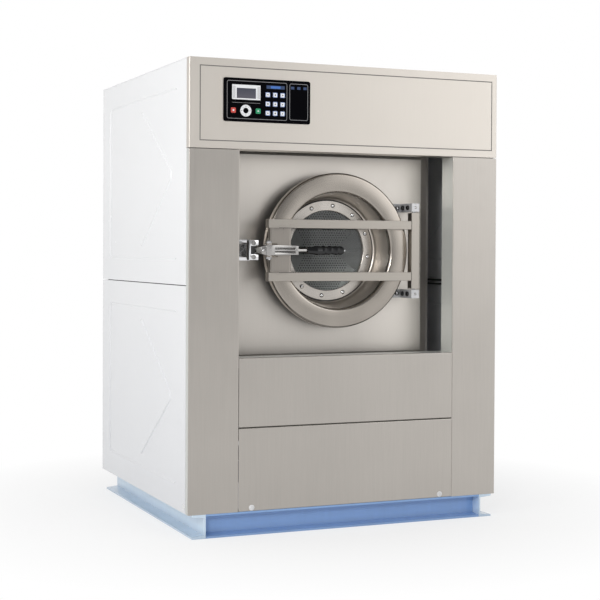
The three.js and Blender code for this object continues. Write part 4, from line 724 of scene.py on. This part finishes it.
# Yoke, hinges and latch: the solids' own shapes with their corners rounded. Each line has the width of
# the corners in millimetres and the angle from which an edge stays sharp.
softEdges = {"yoke_bar_upper": ("door", "yoke", "tub_steel", 2.4, 12),
             "yoke_bar_lower": ("door", "yoke", "tub_steel", 2.4, 12),
             "yoke_post": ("door", "post", "tub_steel", 2.4, 12),
             "hinge_bracket_upper": ("tub", "hinge", "bright_chrome", 0.9, 12),
             "hinge_bracket_lower": ("tub", "hinge", "bright_chrome", 0.9, 12),
             "catch_bracket": ("tub", "chrome", "bright_chrome", 0.6, 20),
             "latch_lever": ("handle", "satin", "bright_chrome", 0.5, 24),
             "latch_hook": ("handle", "satin", "bright_chrome", 0.5, 24)}
rounding = {"flat": 1, "from": 50, "segments": 3}
for node, (body, finish, slot, width, smooth) in softEdges.items():
    soft = skinOf(node, node + "_skin")
    bpy.ops.mesh.dissolve_limited(angle_limit=math.radians(rounding["flat"]))
    bpy.ops.object.mode_set(mode="OBJECT")
    corners = soft.modifiers.new("corners", "BEVEL")
    corners.width = width / 1000
    corners.segments = rounding["segments"]
    corners.limit_method = "ANGLE"
    corners.angle_limit = math.radians(rounding["from"])
    bpy.ops.object.modifier_apply(modifier="corners")
    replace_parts(settle(node + "_skin", body, finish, smooth), node)
print("yoke and latch made")


# Springs: the solids' own coils, between the cabinet and the tub
spring = {"offset": 455, "low": 8, "high": 192, "front": 277, "rear": 659, "sharpFrom": 50}
for row in ("front", "rear"):
    for side, way in (("left", -1), ("right", 1)):
        node = "suspension_spring_%s_%s" % (row, side)
        coil = skinOf(node, "coil_%s_%s" % (row, side))
        bpy.ops.object.mode_set(mode="OBJECT")
        bpy.ops.object.shade_smooth_by_angle(angle=math.radians(spring["sharpFrom"]))
        coil.data.materials.append(finishes["spring"])
        low, high = (onCabinet(way * spring["offset"], spring[row], spring[k]) for k in ("low", "high"))
        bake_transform(coil)
        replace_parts(coil, node)
print("springs made")


# Control panel: frames and bars printed on the film. They are placed from the panel's middle.
film = {"front": -3.6, "ink": 0.12, "sunk": 0.3}
panelMiddle = sum(corner.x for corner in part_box("control_panel")) * 500
ink = (film["front"] - film["ink"], film["front"] + film["sunk"])


def printedBar(name, x0, x1, z0, z1, finish, depths=ink, corner=0.6):
    x0, x1 = x0 + panelMiddle, x1 + panelMiddle
    plate(x0, x1, z0, z1, depths, min(corner, (z1 - z0) * 0.4, (x1 - x0) * 0.4), 2)
    settle(name, "cabinet", finish)


frames = {"main": (-143.5, 70.5, 1303.5, 1429), "side": (79.5, 146.5, 1306, 1428)}
frameLine = {"corner": 6, "width": 1.4}
for name, (x0, x1, z0, z1) in frames.items():
    plate(x0 + panelMiddle, x1 + panelMiddle, z0, z1, ink, frameLine["corner"])
    opened(frameLine["width"])
    settle("panel_frame_%s" % name, "cabinet", "greyInk")

# Display: a ribbed white surround and a dark sunk screen
display = {"left": -125.5, "right": -25.5, "bottom": 1367, "top": 1416, "proud": 0.9, "corner": 1.5,
           "thinCorner": 0.3}
screen = {"left": -109.5, "right": -41.5, "bottom": 1371.5, "top": 1405, "under": 0.3, "proud": 0.3}
ribs = {"places": (-122.5, -120.1, -117.7, -115.3, -35.9, -33.5, -31.1, -28.7), "width": 0.8,
        "below": 1, "above": 6, "proud": 0.15, "sunk": 0.2, "corner": 0.3}
d, s = display, screen
front = film["front"] - d["proud"]
surround = (front, ink[1])


def screenFilm(name):
    finish = Finish(name, Coat_Weight=0.6, Coat_Roughness=0.05)
    # The screen is painted darker towards its top, as the shade of its sunk frame
    up = finish.z.rise(onCabinet(0, 0, s["bottom"]).z, onCabinet(0, 0, s["top"]).z)
    cloud = finish.noise(40, 3)
    scan = ((finish.z * 700) % 1.0).rise(0.4, 0.6)
    tone = finish.tint(up + cloud * 0.3 - 0.15, (0.09, 0.086, 0.11), (0.036, 0.04, 0.065))
    finish.feed("Base Color", finish.tint(scan * 0.12, tone, (0.22, 0.22, 0.26)))
    finish.feed("Roughness", cloud * 0.08 + 0.16)
    return finish.material


finishes["screen"] = screenFilm("display_screen")
sides = {"side_left": (d["left"], s["left"], d["bottom"], d["top"], d["corner"]),
         "side_right": (s["right"], d["right"], d["bottom"], d["top"], d["corner"]),
         "top": (s["left"], s["right"], s["top"], d["top"], d["thinCorner"]),
         "bottom": (s["left"], s["right"], d["bottom"], s["bottom"], d["thinCorner"])}
for side, (x0, x1, z0, z1, corner) in sides.items():
    printedBar("display_" + side, x0, x1, z0, z1, "white", surround, corner)
printedBar("display_screen", s["left"] - s["under"], s["right"] + s["under"], s["bottom"] - s["under"],
           s["top"] + s["under"], "screen", (film["front"] - s["proud"], ink[1]))
for i, x in enumerate(ribs["places"], start=1):
    printedBar("display_rib_%d" % i, x, x + ribs["width"], s["bottom"] - ribs["below"],
               s["top"] + ribs["above"], "greyInk", (front - ribs["proud"], front + ribs["sunk"]),
               ribs["corner"])

bars = {"display_line": (-125.5, -26.5, 1356.2, 1357.1, "greyInk"),
        "upper_bar": (-3.5, 61.5, 1407, 1418, "slateInk"),
        "upper_bar_middle": (11.5, 46.5, 1408.5, 1416.5, "blueInk", (ink[0] - 0.1, ink[0] + 0.05))}
sideBars = {"count": 3, "left": 84.5, "width": 12, "pitch": 22.5, "bottom": 1409, "top": 1418}
for name, bar in bars.items():
    printedBar(name, *bar)
for i in range(sideBars["count"]):
    x = sideBars["left"] + sideBars["pitch"] * i
    printedBar("side_bar_%d" % (i + 1), x, x + sideBars["width"], sideBars["bottom"], sideBars["top"],
               "slateInk")

# Keys: a blue edge and a plain sign on each white cap. Signs are (corners, radius, turn).
keyCap = {"proud": 1.0, "ink": 0.12, "edgeInk": 0.08, "sunk": 0.2, "inset": 0.15, "corner": 2.4,
          "edge": 1.2}
keyFace = film["front"] - keyCap["proud"]
keyInk = (keyFace - keyCap["ink"], keyFace + keyCap["sunk"])
edgeInk = (keyFace - keyCap["edgeInk"], keyFace + keyCap["sunk"])
signs = [(3, 3, 30), (16, 2.4, 0), (3, 3, -30), (4, 3, 45), (4, 2.6, 0), (16, 1.8, 0), (3, 2.8, 0),
         (6, 2.6, 0), (4, 2, 45)]
for i, shape in enumerate(signs, start=1):
    key = "program_key_%d" % i
    (x0, _, z0), (x1, _, z1) = ([v * 1000 for v in corner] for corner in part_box(key))
    z0, z1 = z0 - cabinetFloor, z1 - cabinetFloor
    inset = keyCap["inset"]
    plate(x0 + inset, x1 - inset, z0 + inset, z1 - inset, edgeInk, keyCap["corner"])
    opened(keyCap["edge"])
    settle("key_edge_%d" % i, key, "blueInk")
    sign((x0 + x1) / 2, (z0 + z1) / 2, keyInk, *shape)
    settle("key_sign_%d" % i, key, "darkInk")
bigSigns = {"stop_key": ((4, 4.2, 45), "key_red"), "start_key": ((3, 4.2, 0), "key_green")}
for key, (shape, slot) in bigSigns.items():
    middle = sum(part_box(key), Vector()) * 500
    sign(middle.x, middle.z - cabinetFloor, keyInk, *shape)
    settle("%s_sign" % key, key, "whiteInk")

# Cursor pad: arrows and dots by turns round a dark centre
padMiddle = sum(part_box("cursor_pad"), Vector()) * 500
pad = {"x": padMiddle.x, "z": padMiddle.z - cabinetFloor, "inner": 9.5, "outer": 19.5, "signs": 8,
       "arrow": (3, 2.1), "dot": (12, 0.9), "height": 0.4, "steps": 32}
reach = (pad["inner"] + pad["outer"]) / 2
for i in range(pad["signs"]):
    turn = 360 / pad["signs"] * i
    angle = math.radians(turn)
    sign(pad["x"] + reach * math.cos(angle), pad["z"] + reach * math.sin(angle), keyInk,
         *(pad["dot"] if i % 2 else pad["arrow"]), -turn)
    settle("pad_sign_%d" % (i + 1), "cursor_pad", "darkInk")
inner = pad["inner"]
spun(onCabinet(pad["x"], keyFace + pad["height"], pad["z"]), (0, -1, 0),
     [(0, -0.5), (inner - 0.3, -0.5), (inner - 0.3, 0.1), (inner - 1.2, 0.5), (0, 0.7)], pad["steps"])
settle("pad_centre", "cursor_pad", "panel")
print("control panel made")


# Screws of the hinges, the catch and the hook, and the ends of the hinge pins. Sizes are radius, height
# and radius of the socket, and places are x and depth.
hinge = {"screwZ": 153, "foot": (252, 146.7), "footSize": (9, 8, 4.4), "side": ((273, 126), (273, 88)),
         "sideSize": (8.5, 9, 4.4), "pin": (285, 59.7), "pinSize": (4.5, 1.6, 1.8)}
catch = {"place": (-329, 58), "z": 23.5, "size": (8, 2.6, 4.2)}
hook = {"place": (-303, 37), "size": (4, 2, 1.6)}
socketSteps = 24


def socketScrew(place, axis, radius, height, socket):
    profile = [(0, -0.4), (radius, -0.4), (radius, height - 1), (radius - 1, height), (socket, height),
               (socket, height * 0.35), (0, height * 0.3)]
    spun(place, axis, profile, socketSteps)


def metalScrew(name, body, finish):
    settle(name, body, finish, crispFrom)


for way, end in ((1, "upper"), (-1, "lower")):
    z = way * hinge["screwZ"]
    socketScrew(onTub(*hinge["foot"], z), (0, -1, 0), *hinge["footSize"])
    metalScrew("hinge_foot_screw_%s" % end, "tub", "chrome")
    for i, place in enumerate(hinge["side"], start=1):
        socketScrew(onTub(*place, z), (-1, 0, 0), *hinge["sideSize"])
        metalScrew("hinge_side_screw_%s_%d" % (end, i), "tub", "grip")
    domeBolt(onTub(*hinge["pin"], z), (0, -1, 0), *hinge["pinSize"])
    metalScrew("hinge_pin_end_%s" % end, "tub", "satin")
    socketScrew(onTub(*catch["place"], way * catch["z"]), (0, -1, 0), *catch["size"])
    metalScrew("catch_screw_%s" % end, "tub", "satin")
domeBolt(onTub(*hook["place"], 0), (0, -1, 0), *hook["size"])
metalScrew("hook_screw", "handle", "chrome")

# Welds where the latch plate and the post meet the yoke's bars
weld = {"half": 0.9, "plateEdge": 75.6, "barEdges": (75.6, 105.4), "post": 269.9, "left": -246,
        "right": -191, "plateProud": 0.5, "barProud": 0.4, "sunk": 3, "corner": 0.7}


def weldLine(name, x0, x1, z0, z1, depths):
    up = drumAxis - cabinetFloor
    plate(x0, x1, z0 + up, z1 + up, depths, weld["corner"], 2)
    settle(name, "door", "seam")


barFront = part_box("yoke_bar_upper")[0].y * 1000 - frontFace
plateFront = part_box("latch_plate")[0].y * 1000 - frontFace
onBar = (barFront - weld["barProud"], barFront + weld["sunk"])
onPlate = (plateFront - weld["plateProud"], plateFront + weld["sunk"])
half = weld["half"]
for way, end in ((1, "upper"), (-1, "lower")):
    z = way * weld["plateEdge"]
    weldLine("plate_weld_%s" % end, weld["left"], weld["right"], z - half, z + half, onPlate)
    low, high = sorted(way * edge for edge in weld["barEdges"])
    weldLine("post_weld_%s" % end, weld["post"] - half, weld["post"] + half, low, high, onBar)

# Tip of the grip: the end of the rod with its cap
tip = {"inside": 1, "depth": 45, "steps": 24,
       "profile": [(0, 0), (3.6, 0), (3.6, 7), (2.6, 8.6), (0, 9)]}
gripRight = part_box("handle_grip")[1].x * 1000
spun(onTub(gripRight - tip["inside"], tip["depth"], 0), (1, 0, 0), tip["profile"], tip["steps"])
metalScrew("grip_tip", "handle", "chrome")

# Rubber strips behind the seams of the side panels
seam = {"inner": 560, "outer": 566, "overlap": 9, "ends": 36, "corner": 2}
seamLow, seamHigh = (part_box(node)[i].z * 1000 - cabinetFloor
                     for node, i in (("side_panel_left_lower", 1), ("side_panel_left_upper", 0)))
sideFront, sideRear = (corner.y * 1000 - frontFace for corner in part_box("side_panel_left_upper"))
for way, side in ((-1, "left"), (1, "right")):
    x0, x1 = sorted(way * x for x in (seam["inner"], seam["outer"]))
    plate(x0, x1, seamLow - seam["overlap"], seamHigh + seam["overlap"],
          (sideFront + seam["ends"], sideRear - seam["ends"]), seam["corner"], 2)
    settle("seam_strip_%s" % side, "cabinet", "rubber")

# Caps over the panel screws
cap = {"steps": 32, "profile": [(0, -0.3), (10, -0.3), (10, 1.2), (8.6, 2.2), (5, 2.8), (0, 3)],
       "places": {"left": ((-355, 0, 12), (0, -1, 0)), "right": ((355, 0, 12), (0, -1, 0)),
                  "side": ((-578.5, 42.5, 22), (-1, 0, 0))}}
for name, (place, axis) in cap["places"].items():
    spun(onCabinet(*place), axis, cap["profile"], cap["steps"])
    settle("screw_cap_%s" % name, "cabinet", "cap")
print("screws made")


# Floor: mostly plain white, so that the shadow is faint near the object and gone farther away. Lengths
# of the floor and the lamps are in metres.
ground = {"size": 40, "roughness": 0.9, "near": 0.7, "far": 1.5, "white": 0.7}
bpy.ops.object.select_all(action="DESELECT")
bpy.ops.mesh.primitive_plane_add(size=ground["size"], location=(0, 0, 0))
floor = bpy.context.object
floor.name = "floor"
paint = Finish("floor_paint", Roughness=ground["roughness"])
paint.feed("Base Color", paint.tint(paint.noise(60, 3), (0.9, 0.9, 0.9), (0.94, 0.94, 0.94)))
away = (paint.x * paint.x + paint.y * paint.y).root().rise(ground["near"], ground["far"])
share = away * (1 - ground["white"]) + ground["white"]
white = paint.add("ShaderNodeEmission", {}, {"Color": (1, 1, 1, 1), "Strength": 1.0})
paint.shade(rayIs(paint.tree, "Camera", "Glossy", "Transmission") * share, white)
floor.data.materials.append(paint.material)

# World: an even level for what is lit and white behind it. Polished metal also mirrors the room in
# front: its wall and ceiling are darker, with a window on the right and a bright end on the far left.
# The window and the left end lie between azimuths in degrees. The other ranges are parts of the unit
# direction looked in.
studio = {"level": 0.5, "wall": 0.38, "window": 1.95, "windowStart": (21, 30), "windowEnd": (62, 82),
          "sill": (-0.17, 0.1), "leftEnd": (-75, -25), "farLeft": 1.0, "lowPart": (-0.2, -0.04),
          "low": 0.06, "steep": (0.45, 0.62), "ceiling": 0.25, "ahead": (-0.15, 0.1)}
world = bpy.data.worlds.new("studio")
bpy.context.scene.world = world
world.use_nodes = True
tree = world.node_tree
look = addNode(tree, "ShaderNodeTexCoord", {}, {}, "Generated")
lookX, lookY, lookZ = (addNode(tree, "ShaderNodeSeparateXYZ", {}, {0: look}, i) for i in range(3))
azimuth = lookX.maths("ARCTAN2", lookX, 0 - lookY) * (180 / math.pi)
k = studio
window = azimuth.rise(*k["windowStart"]) * (1 - azimuth.rise(*k["windowEnd"]))
room = window * lookZ.rise(*k["sill"]) * (k["window"] - k["wall"]) + k["wall"]
room = room - (1 - azimuth.rise(*k["leftEnd"])) * (k["wall"] - k["farLeft"])
room = room + (1 - lookZ.rise(*k["lowPart"])) * k["low"]
steep = lookZ.size().rise(*k["steep"])
room = room * (1 - steep) + steep * k["ceiling"]
ahead = (0 - lookY).rise(*k["ahead"])
room = room * ahead + (1 - ahead)
mirrored = rayIs(tree, "Glossy")
unlit = rayIs(tree, "Camera", "Transmission")
strength = mirrored * room + (1 - mirrored) * (unlit * (1 - k["level"]) + k["level"])
tree.nodes["Background"].inputs["Color"].default_value = (1, 1, 1, 1)
tree.links.new(strength.socket, tree.nodes["Background"].inputs["Strength"])

lamps = {
    "key_lamp": {"place": (3.0, -4.0, 2.3), "target": (0.1, -0.3, 0.9), "size": 3.0, "power": 10},
    "side_lamp": {"place": (-4.4, -2.4, 2.5), "target": (-0.2, -0.2, 0.8), "size": 1.8, "power": 62},
    "front_lamp": {"place": (-3.0, -4.6, 2.2), "target": (0, -0.4, 0.9), "size": 0.8, "power": 58},
}
for name, lamp in lamps.items():
    bpy.ops.object.light_add(type="AREA", location=lamp["place"])
    light = bpy.context.object
    light.name = name
    light.data.size = lamp["size"]
    light.data.energy = lamp["power"]
    aim = Vector(lamp["target"]) - Vector(lamp["place"])
    light.rotation_euler = aim.to_track_quat("-Z", "Y").to_euler()
bpy.context.scene.view_settings.view_transform = "Standard"
print("stage made")
